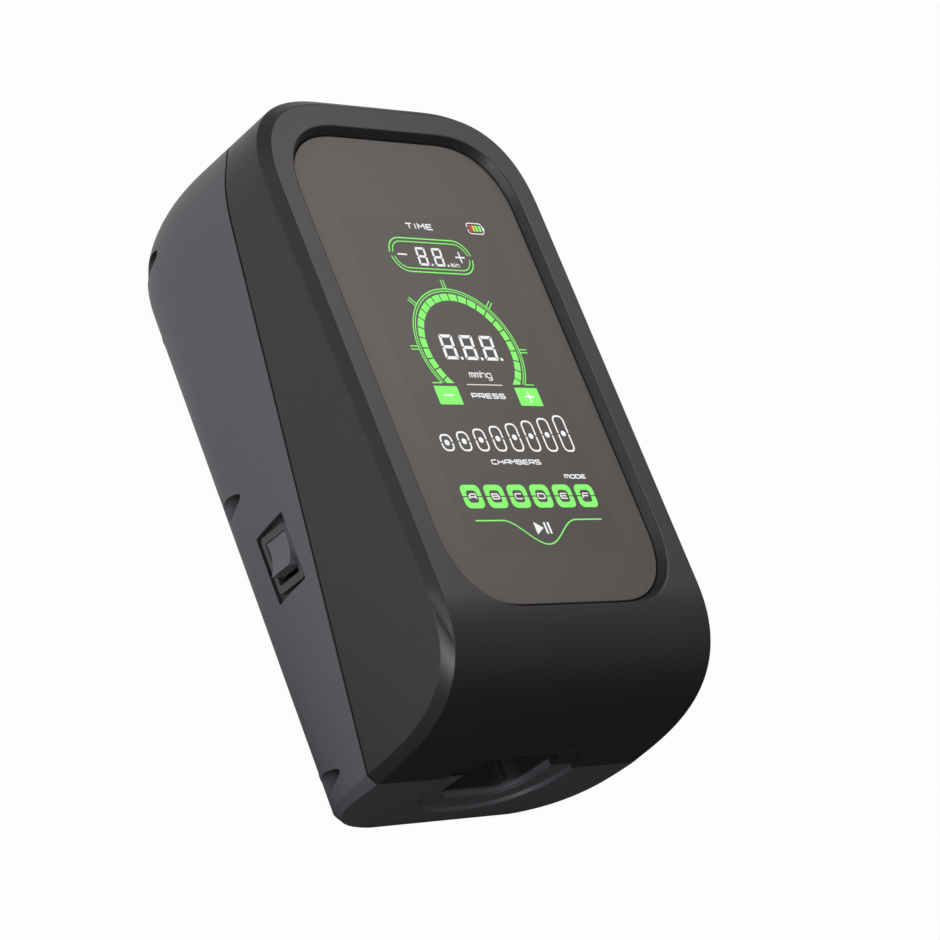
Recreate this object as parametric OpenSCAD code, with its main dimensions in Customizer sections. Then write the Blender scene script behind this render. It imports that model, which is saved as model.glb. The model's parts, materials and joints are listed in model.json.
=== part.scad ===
// Compression therapy pump: a hand-sized air pump for sleeves and boots.
// It lies on its back on rubber feet with the touch screen up.  The hose socket
// is in the bottom end (low y) and the housing is two moulded shells.
// X runs across the screen, Y up the screen, Z out of the screen.

/* [Housing] */
// Width of the housing across the screen
body_w = 120; // [116:1:130]
// Length of the housing from the socket end to the top end
body_l = 216.5; // [210:0.5:230]
// Height of the glass face above the back, at the centre of the gauge
glass_z = 84.8; // [80:0.2:92]
// Width of the frame between the glass and the top end
frame_top = 13.3; // [10:0.1:18]
// Tilt of the screen against the back, in degrees
rake = 1; // [0:0.25:2]
// Wall thickness of both shells
wall = 2.6; // [2:0.1:3.2]
// Semi-axis of the two rounded corners at the top end, seen from the front
corner_r = 39; // [30:1:44]
// Exponent of those corners, 2 is a round one
corner_exp = 2.6; // [2:0.1:3.2]
// Depth over which the rear shell rounds in
rear_depth = 47.5; // [40:0.5:54]
// Exponent of the rear shell's cross section
rear_exp = 3.8; // [3:0.1:5]
// How far the top end rounds in over the same depth
top_round = 45; // [36:1:52]
// Exponent of that rounding
top_exp = 2.2; // [2:0.1:3]
// Width of the chamfer round the screen side
front_chamfer = 3.2; // [2:0.1:4]
// Width of the chamfers beside the socket end, behind the parting line
end_chamfer = 2.4; // [1.5:0.1:3.5]
// Width of the softened edge between the socket end and the back
end_edge = 1.4; // [0.8:0.1:2.4]

/* [Curve below the screen] */
// Distance below the gauge centre at which the flat front starts to curve
curve_start = 86.5; // [84:0.5:92]
// Length of the curve's handle along the front, as a share of the curve's run
curve_front = 1.0026; // [0.8:0.01:1.1]
// Height above the back at which the curve meets the end face
curve_end_z = 36.7; // [32:0.1:42]
// Length of the curve's handle along the end face
curve_end = 13.7; // [8:0.1:18]
// Lean of the curve where it meets the end face
curve_lean = 0.11; // [0:0.01:0.2]

/* [Parting line] */
// Rise of the parting line for each millimetre of length
parting_slope = 0.1507; // [0.1:0.002:0.18]
// Distance from the top end at which the parting line turns down
parting_turn = 18.5; // [12:0.5:36]
// Radius-like size of that turn
parting_bend = 30; // [24:1:60]
// Width of the shadow gap between the shells
gap_w = 0.8; // [0.5:0.1:1.2]
// Depth of the shadow gap
gap_d = 1; // [0.6:0.1:1.4]

/* [Screen] */
// Width of the glass
glass_w = 94.4; // [88:0.2:98]
// Height of the glass's top edge above the gauge centre
glass_top = 78.6; // [72:0.2:80]
// Distance of the glass's lower edge below the gauge centre
glass_bottom = 90.4; // [84:0.2:92]
// Semi-axis of the glass's corners
glass_corner = 26; // [18:1:32]
// Thickness of the glass
glass_t = 1.8; // [1.1:0.1:2.4]
// Depth of the glass below the frame round it
bezel_h = 2.9; // [2:0.1:3.6]
// Gap round the glass
glass_gap = 0.45; // [0.3:0.05:0.7]
// How far the recess flares outwards above the glass
recess_flare = 1.65; // [1:0.05:2.2]
// Thickness of the adhesive gasket under the glass
gasket_t = 0.5; // [0.3:0.1:0.8]
// Width of the display panel
panel_w = 71.8; // [66:0.2:74]
// Length of the display panel
panel_l = 130; // [120:1:132]
// Place of the display panel's centre above the gauge centre
panel_y = -13.4; // [-16:0.2:-10]

/* [Hose socket] */
// Width of the recess round the socket
port_w = 57.6; // [52:0.2:64]
// Height of that recess, from back to front
port_h = 46.6; // [42:0.1:50]
// Height of the recess's centre above the back
port_z = 32.2; // [31:0.1:34]
// Depth of the recess
port_d = 2; // [1.6:0.1:2.6]
// Width of the opening in the shells
mouth_w = 37; // [32:0.5:42]
// Height of the opening in the shells
mouth_h = 29.8; // [26:0.2:33]
// Corner radius of the opening
mouth_r = 9.6; // [6:0.2:12]
// Height of the opening's centre above the back
mouth_z = 32; // [30:0.5:35]
// How far in the socket's back wall lies
socket_depth = 20; // [16:0.5:24]
// Outer diameter of an air nipple
nipple_d = 4; // [3:0.1:4.6]
// Bore of an air nipple
nipple_bore = 2.4; // [1.6:0.1:2.6]
// Spacing of the nipples across
nipple_px = 8; // [7.2:0.1:8.6]
// Spacing of the nipples from back to front
nipple_pz = 11; // [9:0.5:12]

/* [Power switch] */
// Place of the switch along the housing
switch_y = 78.4; // [70:0.2:86]
// Height of the switch above the back
switch_z = 34; // [32:0.2:37]
// Length of the recess round the switch
switch_recess_l = 23.4; // [22:0.1:26]
// Height of the recess round the switch
switch_recess_h = 15.6; // [15.4:0.1:17]
// Depth of the recess
switch_recess_d = 2.4; // [2:0.1:3]
// How far the recess leans up the housing from its back side to its front side
switch_recess_lean = 1.8; // [0:0.1:2.2]
// Length of the switch's frame
switch_frame_l = 19.6; // [19:0.1:21]
// Height of the switch's frame
switch_frame_h = 13.4; // [13:0.1:14]
// Thickness of the switch's frame
switch_frame_t = 1.6; // [1:0.1:2]
// Half angle of the rocker's throw, in degrees
rocker_throw = 14; // [8:1:16]

/* [Charging inlet] */
// Place of the inlet along the housing
inlet_y = 79.2; // [60:0.2:100]
// Outer diameter of the plug that goes in
inlet_plug_d = 5.5; // [5.5:0.1:6.5]

/* [Fasteners and feet] */
// Distance of the four lower case screws from the side of the housing
screw_inset = 4; // [3.5:0.5:6]
// Places of the lower and middle case screws from the socket end
screw_low_y = 10; // [9:0.5:14]
screw_mid_y = 104.6; // [98:0.2:110]
// Distance of the upper case screws from the top end
screw_top = 24.5; // [22:0.5:30]
// Diameter of the holes that lead to the screw heads
screw_hole_d = 6.4; // [6:0.1:7]
// Height of the screw seats above the back
screw_seat_z = 28; // [26:0.5:30]
// Height that the feet stand out below the back
foot_h = 1.3; // [0.8:0.1:3]
// Diameter of a foot
foot_d = 12; // [9:0.5:14]
// Distance of the feet from the middle
foot_x = 36; // [30:1:40]
// Distance of the lower feet from the socket end
foot_low_y = 19; // [17:1:26]
// Distance of the upper feet from the top end
foot_top = 40.5; // [36:0.5:50]

/* [Pump] */
// Diameter of the pump's motor
motor_d = 27; // [22:0.5:28]
// Length of the pump's motor
motor_l = 38; // [30:1:40]
// Eccentricity of the crank, which is half the stroke
crank_throw = 1.5; // [1:0.1:1.8]
// Diameter of the battery cells
cell_d = 18.2; // [14:0.1:18.4]
// Length of the battery cells
cell_l = 65; // [50:1:66]
// Distance of the pump's front from the top end
pump_top = 132.5; // [130:0.5:134]
// Distance of the battery's middle from the top end
battery_top = 46.5; // [44:0.5:50]

/* [Hidden] */

eps = 0.01;
far = 300;
run_fit = 0.05;          // radial clearance of a pin or shaft that turns
push_fit = 0.03;         // radial clearance of a screw, tube or plug that stays put
seat_gap = 0.3;          // clearance between loose neighbours
past = 20;               // how far a cutter runs past the housing
half_w = body_w / 2;
gauge_y = body_l - frame_top - glass_top;
plastic_dark = [0.2, 0.2, 0.21];
plastic_rear = [0.27, 0.27, 0.29];
steel = [0.72, 0.73, 0.75];
rubber_black = [0.08, 0.08, 0.08];

// ---- placing ---------------------------------------------------------------

// The housing is drawn from the middle of its socket end and its back plane.
module placed() {
    translate([0, -body_l / 2, foot_h]) children();
}

// The screen is drawn with its gauge centre at the origin and its face at z = 0.
module on_screen() {
    placed() translate([0, gauge_y, glass_z]) rotate([-rake, 0, 0]) children();
}

// Turns a solid drawn along z so that it runs along +y.
module along_y() {
    rotate([-90, 0, 0]) children();
}

// Turns a profile drawn in (y, z) so that it is extruded along x.
module across(width) {
    rotate([90, 0, 90]) translate([0, 0, -width / 2]) linear_extrude(width) children();
}

module tube(r, bore, h) {
    difference() {
        cylinder(r = r, h = h, $fn = 48);
        translate([0, 0, -1]) cylinder(r = bore, h = h + 2, $fn = 48);
    }
}

module rounded_rect(w, h, r) {
    square([w - 2 * r, h], center = true);
    square([w, h - 2 * r], center = true);
    for (sx = [-1, 1], sy = [-1, 1])
        translate([sx * (w / 2 - r), sy * (h / 2 - r)]) circle(r = r, $fn = 48);
}

module block(x, y, z) {
    translate([x[0], y[0], z[0]]) cube([x[1] - x[0], y[1] - y[0], z[1] - z[0]]);
}

// ---- outlines ---------------------------------------------------------------

// How far a superellipse has come in, as a share, at the share u of its depth.
function draw_in(u, p) = 1 - pow(max(0, 1 - pow(u, p)), 1 / p);

// A quarter of a superellipse from (rx, 0) to (0, ry).
function quarter(rx, ry, p, n) =
    [for (i = [0:n]) [rx * pow(cos(90 * i / n), 2 / p), ry * pow(sin(90 * i / n), 2 / p)]];

// A closed superellipse outline.
function oval(rx, ry, p, n) =
    [for (i = [0:4 * n - 1]) let (a = 90 * i / n, c = cos(a), s = sin(a))
        [sign(c) * rx * pow(abs(c), 2 / p), sign(s) * ry * pow(abs(s), 2 / p)]];

// The glass's outline, grown by d: sides, top and bottom straight, four soft corners.
glass_exp = 2.4;
corner_steps = 8;
function glass_outline(d, drop = 0) =
    let (r = glass_corner + d, cx = glass_w / 2 + d - r,
         up = glass_top + d - r, down = -glass_bottom - d - drop + r,
         q = quarter(r, r, glass_exp, corner_steps), n = len(q))
    concat(
        [for (i = [0:n - 1]) [cx + q[i][0], up + q[i][1]]],
        [for (i = [n - 1:-1:0]) [-cx - q[i][0], up + q[i][1]]],
        [for (i = [0:n - 1]) [-cx - q[i][0], down - q[i][1]]],
        [for (i = [n - 1:-1:0]) [cx + q[i][0], down - q[i][1]]]);

// A point of the middle section: up the screen by s, out of the glass plane by t.
function section_point(s, t) =
    [gauge_y + t * sin(rake) + s * cos(rake), glass_z + t * cos(rake) - s * sin(rake)];

// Height of the flat front at the place y, sunk by d.
function front_z(y, d) = glass_z + (bezel_h - d) / cos(rake) - (y - gauge_y) * tan(rake);

// The curve below the screen, from the flat front to the end face.
curve_p0 = section_point(-curve_start, bezel_h);
curve_p1 = curve_p0 + curve_front * curve_p0[0] * [-cos(rake), sin(rake)];
curve_p3 = [0, curve_end_z];
curve_p2 = curve_p3 + curve_end * [curve_lean, 1] / norm([curve_lean, 1]);
function curve_point(t) =
    pow(1 - t, 3) * curve_p0 + 3 * pow(1 - t, 2) * t * curve_p1
    + 3 * (1 - t) * t * t * curve_p2 + pow(t, 3) * curve_p3;
function curve_inward(t) =
    let (v = 3 * pow(1 - t, 2) * (curve_p1 - curve_p0) + 6 * (1 - t) * t * (curve_p2 - curve_p1)
             + 3 * t * t * (curve_p3 - curve_p2))
    [-v[1], v[0]] / norm(v);

// ---- the housing's form ------------------------------------------------------
// It is convex, so each layer is the hull of points on it, sunk by d under the skin.

depth_steps = 13;
corner_n = 8;
curve_n = 14;

// One level of the rounded rear, at the share u of its depth.
function rear_ring(u, d) =
    let (half = half_w - d, ix = half * draw_in(u, rear_exp),
         iy = (top_round - d) * draw_in(u, top_exp),
         rx = max(corner_r - d - ix, 0.3), ry = max(corner_r - d - iy, 0.3),
         cx = half - ix - rx, cy = body_l - d - iy - ry,
         z = d + (rear_depth - d) * (1 - u))
    concat(
        [for (q = quarter(rx, ry, corner_exp, corner_n)) [cx + q[0], cy + q[1], z]],
        [[half - ix, d + end_chamfer, z],
         if (z < d + end_edge / 2) [max(0, half - ix - end_chamfer + end_edge), d + end_edge, z],
         [max(0, half - ix - end_chamfer), d, max(z, d + end_edge)]]);

// The rim of the flat front, with its chamfer.
function front_rim(d) =
    let (c = front_chamfer - 0.586 * d, r = corner_r - d, cx = half_w - corner_r,
         cy = body_l - corner_r)
    concat(
        [for (q = quarter(r - c, r - c, corner_exp, corner_n))
            [cx + q[0], cy + q[1], front_z(cy + q[1], d)]],
        [for (q = quarter(r, r, corner_exp, corner_n))
            [cx + q[0], cy + q[1], front_z(cy + q[1], d) - c]]);

// The curve below the screen, with its chamfer.
function curve_rim(d) =
    let (c = front_chamfer - 0.586 * d)
    [for (i = [0:curve_n], side = [0, 1])
        let (t = i / curve_n, p = curve_point(t) + (d + side * c) * curve_inward(t))
        [half_w - d - (1 - side) * c, max(p[0], d), p[1]]];

function half_points(d) = concat(
    [for (i = [0:depth_steps], p = rear_ring(sin(90 * i / depth_steps), d)) p],
    front_rim(d), curve_rim(d));

module housing_form(d) {
    half = half_points(d);
    points = concat(half, [for (p = half) [-p[0], p[1], p[2]]]);
    hull() polyhedron(points, [[for (i = [0:len(points) - 1]) i]]);
}

// ---- parting ----------------------------------------------------------------

parting_bend_y = body_l - parting_turn;
function parting_z(y) =
    curve_end_z + parting_slope * y - pow(max(0, y - parting_bend_y), 2) / parting_bend;
parting_steps = 8;
function parting_line(shift) = concat(
    [[-past, parting_z(-past) + shift], [parting_bend_y, parting_z(parting_bend_y) + shift]],
    [for (i = [1:parting_steps]) let (y = parting_bend_y + i * (body_l + 4 - parting_bend_y) / parting_steps)
        [y, parting_z(y) + shift]]);

module behind_parting(shift) {
    last = body_l + 4;
    across(body_w + past) polygon(concat(parting_line(shift), [[last, -past], [-past, -past]]));
}

module before_parting(shift) {
    last = body_l + 4;
    across(body_w + past) polygon(concat(parting_line(shift), [[last, far], [-past, far]]));
}

// ---- fasteners of the case ----------------------------------------------------

screw_x = half_w - screw_inset;
top_screw_shift = 1.5;   // the upper screws stand further in, where the corners begin
case_screw_places = [
    for (s = [-1, 1]) each [[s * screw_x, screw_low_y], [s * screw_x, screw_mid_y],
                            [s * (screw_x - top_screw_shift), body_l - screw_top]]
];
case_screw_r = 1.5;
case_screw_head_r = 2.8;
case_screw_head_h = 2.4;
case_screw_grip = 11;    // how far a screw reaches into the front shell
case_boss_r = 5;

// Feet
foot_places = [for (s = [-1, 1], y = [foot_low_y, body_l - foot_top]) [s * foot_x, y]];
foot_sink = 4.4;         // height of a foot's seat above the back plane
foot_floor = 1.6;        // shell above the seat

// ---- places of the inner pieces -------------------------------------------------

socket_wall_y = port_d + 1.6;              // back of the shells round the mouth
seal_t = 0.8;
flange_w = mouth_w + 15;
flange_h = mouth_h + 15;
flange_t = 2.2;
flange_y = socket_wall_y + seal_t;
slot_back_y = flange_y + flange_t + 0.2;   // back of the slot that holds the flange
slot_rib_t = 2;
cavity_w = mouth_w - 1.6;
cavity_h = mouth_h - 1.6;
cavity_r = mouth_r - 0.8;
socket_skin = 1.8;
socket_back_t = 2.5;
stub_l = 5.5;
nipple_l = 9;
nipple_places = [
    for (i = [0:3], j = [-1, 1]) [(i - 1.5) * nipple_px, mouth_z + j * nipple_pz / 2]
];
socket_end_y = socket_depth + socket_back_t;

manifold_y = [socket_end_y + 2 * stub_l + 2.5, socket_end_y + 2 * stub_l + 18.5];
manifold_z = [mouth_z - 8, mouth_z + 8];
manifold_half = 27;
manifold_ear_x = 31;
manifold_ear_z = [mouth_z - 2, mouth_z + 2];
manifold_mid_y = (manifold_y[0] + manifold_y[1]) / 2;
manifold_screw_places = [for (s = [-1, 1]) [s * manifold_ear_x, manifold_mid_y]];
valve_pitch = 13;
valve_base_h = 3;
valve_can_h = 14;
valve_cap_h = 1.2;

pump_z = mouth_z;
pipe_r = 2.5;
pipe_bore = 1.5;
pump_front_y = body_l - pump_top;           // front of the pump's cover
pipe_l = (pump_front_y - manifold_y[1]) / 4; // each pipe reaches a quarter of the way
cover_t = 4;
crankcase_l = 20;
crankcase_y = [pump_front_y + cover_t, pump_front_y + cover_t + crankcase_l];
chamber_l = 16;
crankcase_half = 25;
crankcase_rise = 14;
motor_y = crankcase_y[1];
crank_shaft_r = 1.5;
crank_pin_r = 1.5;
yoke_y = [crankcase_y[0] + 3, crankcase_y[0] + 7];
crank_disc_y = [yoke_y[1] + 2, yoke_y[1] + 4.5];
window_x = crank_pin_r + 2 * crank_throw + 0.5;
window_z = crank_pin_r + crank_throw + 0.6;
yoke_half_x = window_x + 4.2;
yoke_half_z = window_z + 2.6;
case_half_x = yoke_half_x + crank_throw + 1;
rod_r = 2;
web_t = 2.5;
bowl_x = case_half_x + web_t;
bowl_r = 9.5;
bowl_y = (crankcase_y[0] + crankcase_y[1]) / 2;
disc_r = 8.7;
disc_t = 1.6;
disc_x = bowl_x + crank_throw + 0.6;
cap_plug_x = disc_x + disc_t + crank_throw + 0.8;
cap_flange_t = 2;
bracket_z = [13, 14.5];
bracket_half = 30;
bracket_end = 36;        // how far the bracket reaches past the front of the motor
saddle = [10, 26];       // part of the motor's length that lies on the bracket
damper_r = 4.5;
damper_z = 9;
pump_screw_x = 26;
pump_screw_end = 32;
pump_screw_places = [
    for (s = [-1, 1], y = [crankcase_y[0] + 2, motor_y + pump_screw_end]) [s * pump_screw_x, y]
];
small_screw_r = 1.25;
small_head_r = 2.4;
small_head_h = 1.8;

cell_pitch = cell_d + 0.8;
tray_wall = 1.5;
tray_z = foot_sink + foot_floor + 1.4;
tray_mid_y = body_l - battery_top;
tray_half_x = cell_l / 2 + tray_wall + 0.5;
tray_half_y = cell_pitch + tray_wall;
tray_ear_x = tray_half_x + 4;
tray_ear_t = 2.5;
tray_ear_y = tray_mid_y - 12;
tray_screw_places = [for (s = [-1, 1]) [s * tray_ear_x, tray_ear_y]];

post_r = 3.6;
post_pilot_l = 9;

// Layers behind the glass, measured from its face
gasket_z = -glass_t;
ledge_z = gasket_z - gasket_t;
ledge_t = 2;
panel_back = ledge_z - ledge_t;
bracket_t = 1;
board_z = panel_back - 7.1;
board_t = 1.6;
board_back = board_z - board_t;
board_w = 88;
board_l = 138;
board_y = -11;
board_boss_r = 3.2;
board_hole_x = board_w / 2 - 3;
board_hole_y = board_l / 2 - 8;
board_hole_places = [for (s = [-1, 1], i = [-1:1]) [s * board_hole_x, board_y + i * board_hole_y]];
board_screw_r = 1.1;
window_margin = 1.5;

// Switch: its pivot, seen along z, and the rocker's profile
switch_face_x = -(half_w - switch_recess_d + switch_frame_t);
rocker_half = 5.97;
rocker_rise = 5;
rocker_h = 9.3;
rocker_gap = 0.25;
rocker_pin_r = 1;
rocker_dip = 1.25;       // how far the face dips in the middle
pivot_depth = rocker_rise * cos(rocker_throw) - rocker_half * sin(rocker_throw);
pivot_x = switch_face_x + pivot_depth;
switch_hole_l = switch_frame_l - 1.9;
switch_hole_h = switch_frame_h - 2;
switch_body_depth = 17;
aperture_half = rocker_half * cos(rocker_throw) + rocker_rise * sin(rocker_throw) + rocker_gap;

// Charging inlet
inlet_z = switch_z;
inlet_bore_r = inlet_plug_d / 2 + 0.05;
inlet_barrel_r = inlet_bore_r + 1.1;
inlet_flange_r = inlet_barrel_r + 1.7;
inlet_recess_d = 1.2;
inlet_wall_x = half_w - wall - 1;
inlet_len = 13;

// ---- housing --------------------------------------------------------------------

// What both shells lose at the socket: the shallow oval recess, the mouth behind it
// and the pocket in which the socket's flange sits.
module port_cuts() {
    flare = 1.3;
    translate([0, 0, port_z]) hull() {
        translate([0, -3, 0]) along_y() linear_extrude(3)
            polygon(oval(port_w / 2, port_h / 2, 2.3, 12));
        translate([0, port_d - 0.1, 0]) along_y() linear_extrude(0.1)
            polygon(oval(port_w / 2 - flare, port_h / 2 - flare, 2.3, 12));
    }
    socket_slab(mouth_w, mouth_h, mouth_r, -5, socket_wall_y + 1);
    socket_slab(flange_w + 2 * seat_gap, flange_h + 2 * seat_gap, 10 + seat_gap,
                socket_wall_y, slot_back_y);
    socket_slab(cavity_w + 2 * (socket_skin + seat_gap), cavity_h + 2 * (socket_skin + seat_gap),
                cavity_r + socket_skin + seat_gap, socket_wall_y, slot_back_y + 10);
}

// The end wall is made up to an even thickness round the mouth, and a rib behind it
// makes the slot that holds the socket's flange.
module port_pad() {
    block([-port_w / 2 - 4, port_w / 2 + 4], [0, slot_back_y + slot_rib_t],
          [port_z - port_h / 2 - 4, port_z + port_h / 2 + 4]);
}

module case_bosses() {
    for (p = case_screw_places) translate([p[0], p[1], 0]) cylinder(r = case_boss_r, h = 100, $fn = 40);
}

module rear_fillers() {
    intersection() {
        case_bosses();
        translate([-half_w, 0, screw_seat_z - 4]) cube([body_w, body_l, 100]);
    }
    for (p = case_screw_places) translate([p[0], p[1], 0]) cylinder(r = case_boss_r, h = screw_seat_z, $fn = 40);
    port_pad();
    for (p = foot_places) translate([p[0], p[1], 0]) 
        cylinder(r = foot_d / 2 + 2, h = foot_sink + foot_floor, $fn = 48);
    for (p = manifold_screw_places) translate([p[0], p[1], 0]) cylinder(r = post_r, h = manifold_ear_z[0], $fn = 40);
    for (p = pump_screw_places) translate([p[0], p[1], 0]) cylinder(r = post_r, h = damper_z, $fn = 40);
    for (p = tray_screw_places) translate([p[0], p[1], 0]) cylinder(r = post_r, h = tray_z, $fn = 40);
    switch_pad();
    inlet_pad();
    intake_rim();
}

switch_wall_x = -(half_w - switch_recess_d - 2.2);   // inner face behind the switch's recess
recess_drop = 0.5;       // the recess's middle lies this much nearer the back than the switch's
recess_places = [for (s = [-1, 1]) switch_z - recess_drop + s * switch_recess_h / 2];
module switch_pad() {
    block([-half_w, switch_wall_x],
          [switch_y - switch_recess_l / 2 - 4, switch_y + switch_recess_l / 2 + 4],
          [recess_places[0] - 3, recess_places[1] + 3]);
}

module switch_cuts() {
    l = switch_recess_l / 2;
    lean = switch_recess_lean / 2;
    translate([-half_w + switch_recess_d, switch_y, 0]) rotate([90, 0, -90]) linear_extrude(switch_recess_d + 3)
        polygon([[l + lean, recess_places[0]], [l - lean, recess_places[1]],
                 [-l - lean, recess_places[1]], [-l + lean, recess_places[0]]]);
    block([-half_w - 3, switch_wall_x + 3],
          [switch_y - switch_hole_l / 2 - 0.1, switch_y + switch_hole_l / 2 + 0.1],
          [switch_z - switch_hole_h / 2 - 0.1, switch_z + switch_hole_h / 2 + 0.1]);
}

module inlet_pad() {
    translate([inlet_wall_x, inlet_y, inlet_z]) rotate([0, 90, 0])
        cylinder(r = inlet_flange_r + 3, h = 10, $fn = 48);
}

module inlet_cuts() {
    translate([half_w - inlet_recess_d, inlet_y, inlet_z]) rotate([0, 90, 0])
        cylinder(r = inlet_flange_r + 0.2, h = 10, $fn = 48);
    translate([half_w - 20, inlet_y, inlet_z]) rotate([0, 90, 0])
        cylinder(r = inlet_barrel_r + push_fit, h = 30, $fn = 48);
}

// Air intake: a row of slots in the back with a low rim inside that holds the filter foam.
slot_n = 6;
slot_w = 1.8;
slot_l = 16;
slot_pitch = 4.2;
intake_y = crankcase_y[0] + 9;                // under the pump
module intake_rim() {
    difference() {
        block([-slot_n * slot_pitch / 2 - 1.5, slot_n * slot_pitch / 2 + 1.5],
              [intake_y - slot_l / 2 - 3, intake_y + slot_l / 2 + 3], [0, wall + 3]);
        block([-slot_n * slot_pitch / 2, slot_n * slot_pitch / 2],
              [intake_y - slot_l / 2 - 1.5, intake_y + slot_l / 2 + 1.5], [wall, wall + 4]);
    }
}

module intake_slots() {
    for (i = [0:slot_n - 1]) translate([(i - (slot_n - 1) / 2) * slot_pitch, intake_y, -1]) {
        translate([-slot_w / 2, -slot_l / 2, 0]) cube([slot_w, slot_l, wall + 2]);
        for (s = [-1, 1]) translate([0, s * slot_l / 2, 0]) cylinder(d = slot_w, h = wall + 2, $fn = 24);
    }
}

module rear_shell() {
    color(plastic_rear) placed() difference() {
        union() {
            intersection() {
                housing_form(0);
                behind_parting(-gap_w / 2);
            }
            intersection() {
                housing_form(gap_d);
                behind_parting(0);
            }
        }
        difference() {
            housing_form(wall);
            rear_fillers();
        }
        port_cuts();
        switch_cuts();
        inlet_cuts();
        intake_slots();
        for (p = case_screw_places) translate([p[0], p[1], 0]) {
            translate([0, 0, -5]) cylinder(d = screw_hole_d, h = 5 + screw_seat_z, $fn = 48);
            cylinder(r = case_screw_r + 0.2, h = 100, $fn = 32);
        }
        for (p = foot_places) translate([p[0], p[1], -5])
            cylinder(r = foot_d / 2 + 0.1, h = 5 + foot_sink, $fn = 48);
        for (p = manifold_screw_places) translate([p[0], p[1], manifold_ear_z[0] - post_pilot_l])
            cylinder(r = small_screw_r + push_fit, h = 20, $fn = 32);
        for (p = pump_screw_places) translate([p[0], p[1], damper_z - 6])
            cylinder(r = small_screw_r + push_fit, h = 20, $fn = 32);
        for (p = tray_screw_places) translate([p[0], p[1], tray_z - 4])
            cylinder(r = small_screw_r + push_fit, h = 20, $fn = 32);
    }
}

// The flared recess above the glass, the pocket for the glass and the window behind it.
module screen_cuts() {
    translate([0, gauge_y, glass_z]) rotate([-rake, 0, 0]) {
        hull() {
            linear_extrude(0.01) polygon(glass_outline(glass_gap));
            translate([0, 0, bezel_h]) linear_extrude(0.6) polygon(glass_outline(glass_gap + recess_flare));
        }
        translate([0, 0, ledge_z]) linear_extrude(glass_t + gasket_t + 0.1) polygon(glass_outline(glass_gap));
        translate([0, panel_y, panel_back - 0.5]) linear_extrude(past)
            rounded_rect(panel_w + 2 * window_margin, panel_l + 2 * window_margin, 2);
    }
}

// The frame round the glass, which stands behind the front wall, and the board's bosses.
module screen_fillers() {
    translate([0, gauge_y, glass_z]) rotate([-rake, 0, 0]) {
        translate([0, 0, panel_back]) linear_extrude(20) polygon(glass_outline(glass_gap + 2.2));
        for (p = board_hole_places) translate([p[0], p[1], board_z])
            cylinder(r = board_boss_r, h = panel_back - board_z + 1, $fn = 40);
    }
}

module front_shell() {
    color(plastic_dark) placed() difference() {
        union() {
            intersection() {
                housing_form(0);
                before_parting(gap_w / 2);
            }
            intersection() {
                housing_form(gap_d);
                before_parting(0);
            }
        }
        difference() {
            housing_form(wall);
            screen_fillers();
            port_pad();
            for (p = case_screw_places) translate([p[0], p[1], parting_z(p[1]) - 2])
                cylinder(r = case_boss_r, h = case_screw_grip + 4, $fn = 40);
        }
        screen_cuts();
        port_cuts();
        for (p = case_screw_places) translate([p[0], p[1], 0])
            cylinder(r = case_screw_r + push_fit, h = parting_z(p[1]) + case_screw_grip + 0.5, $fn = 32);
        translate([0, gauge_y, glass_z]) rotate([-rake, 0, 0])
            for (p = board_hole_places) translate([p[0], p[1], board_z - 1])
                cylinder(r = board_screw_r + push_fit, h = board_screw_grip + 2, $fn = 32);
    }
}

module case_screws() {
    color(steel) placed() for (p = case_screw_places) translate([p[0], p[1], 0]) difference() {
        union() {
            translate([0, 0, screw_seat_z - case_screw_head_h])
                cylinder(r = case_screw_head_r, h = case_screw_head_h, $fn = 40);
            translate([0, 0, screw_seat_z - eps])
                cylinder(r = case_screw_r, h = parting_z(p[1]) + case_screw_grip - screw_seat_z, $fn = 32);
        }
        for (a = [0, 90]) translate([0, 0, screw_seat_z - case_screw_head_h]) rotate(a)
            cube([3.4, 0.7, 2.4], center = true);
    }
}

module rubber_feet() {
    color(rubber_black) placed() for (p = foot_places) translate([p[0], p[1], 0]) rotate_extrude($fn = 48)
        polygon([[0, -foot_h], [foot_d / 2 - 0.8, -foot_h], [foot_d / 2, -foot_h + 0.8],
                 [foot_d / 2, foot_sink], [0, foot_sink]]);
}

// ---- screen ---------------------------------------------------------------------

module touch_glass() {
    color([0.36, 0.35, 0.33]) on_screen() translate([0, 0, -glass_t])
        linear_extrude(glass_t) polygon(glass_outline(0));
}

module glass_gasket() {
    color(rubber_black) on_screen() translate([0, 0, ledge_z]) difference() {
        linear_extrude(gasket_t) polygon(glass_outline(-0.6));
        translate([0, panel_y, -1]) linear_extrude(gasket_t + 2)
            rounded_rect(panel_w + 2 * window_margin, panel_l + 2 * window_margin, 2);
    }
}

module lcd_panel() {
    color([0.15, 0.15, 0.16]) on_screen() translate([0, panel_y, panel_back])
        linear_extrude(-glass_t - panel_back) rounded_rect(panel_w, panel_l, 1);
}

// Sheet tray that holds the panel against the glass, with holes for the board's bosses.
module lcd_bracket() {
    color(steel) on_screen() difference() {
        translate([0, panel_y, panel_back - bracket_t])
            linear_extrude(bracket_t) rounded_rect(board_w + 4, panel_l + 12, 6);
        for (p = board_hole_places) translate([p[0], p[1], panel_back - 5])
            cylinder(r = board_boss_r + seat_gap, h = 10, $fn = 40);
        for (y = [-38, 0, 38]) translate([0, panel_y + y, panel_back - 5])
            linear_extrude(10) rounded_rect(50, 26, 5);
    }
}

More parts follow.
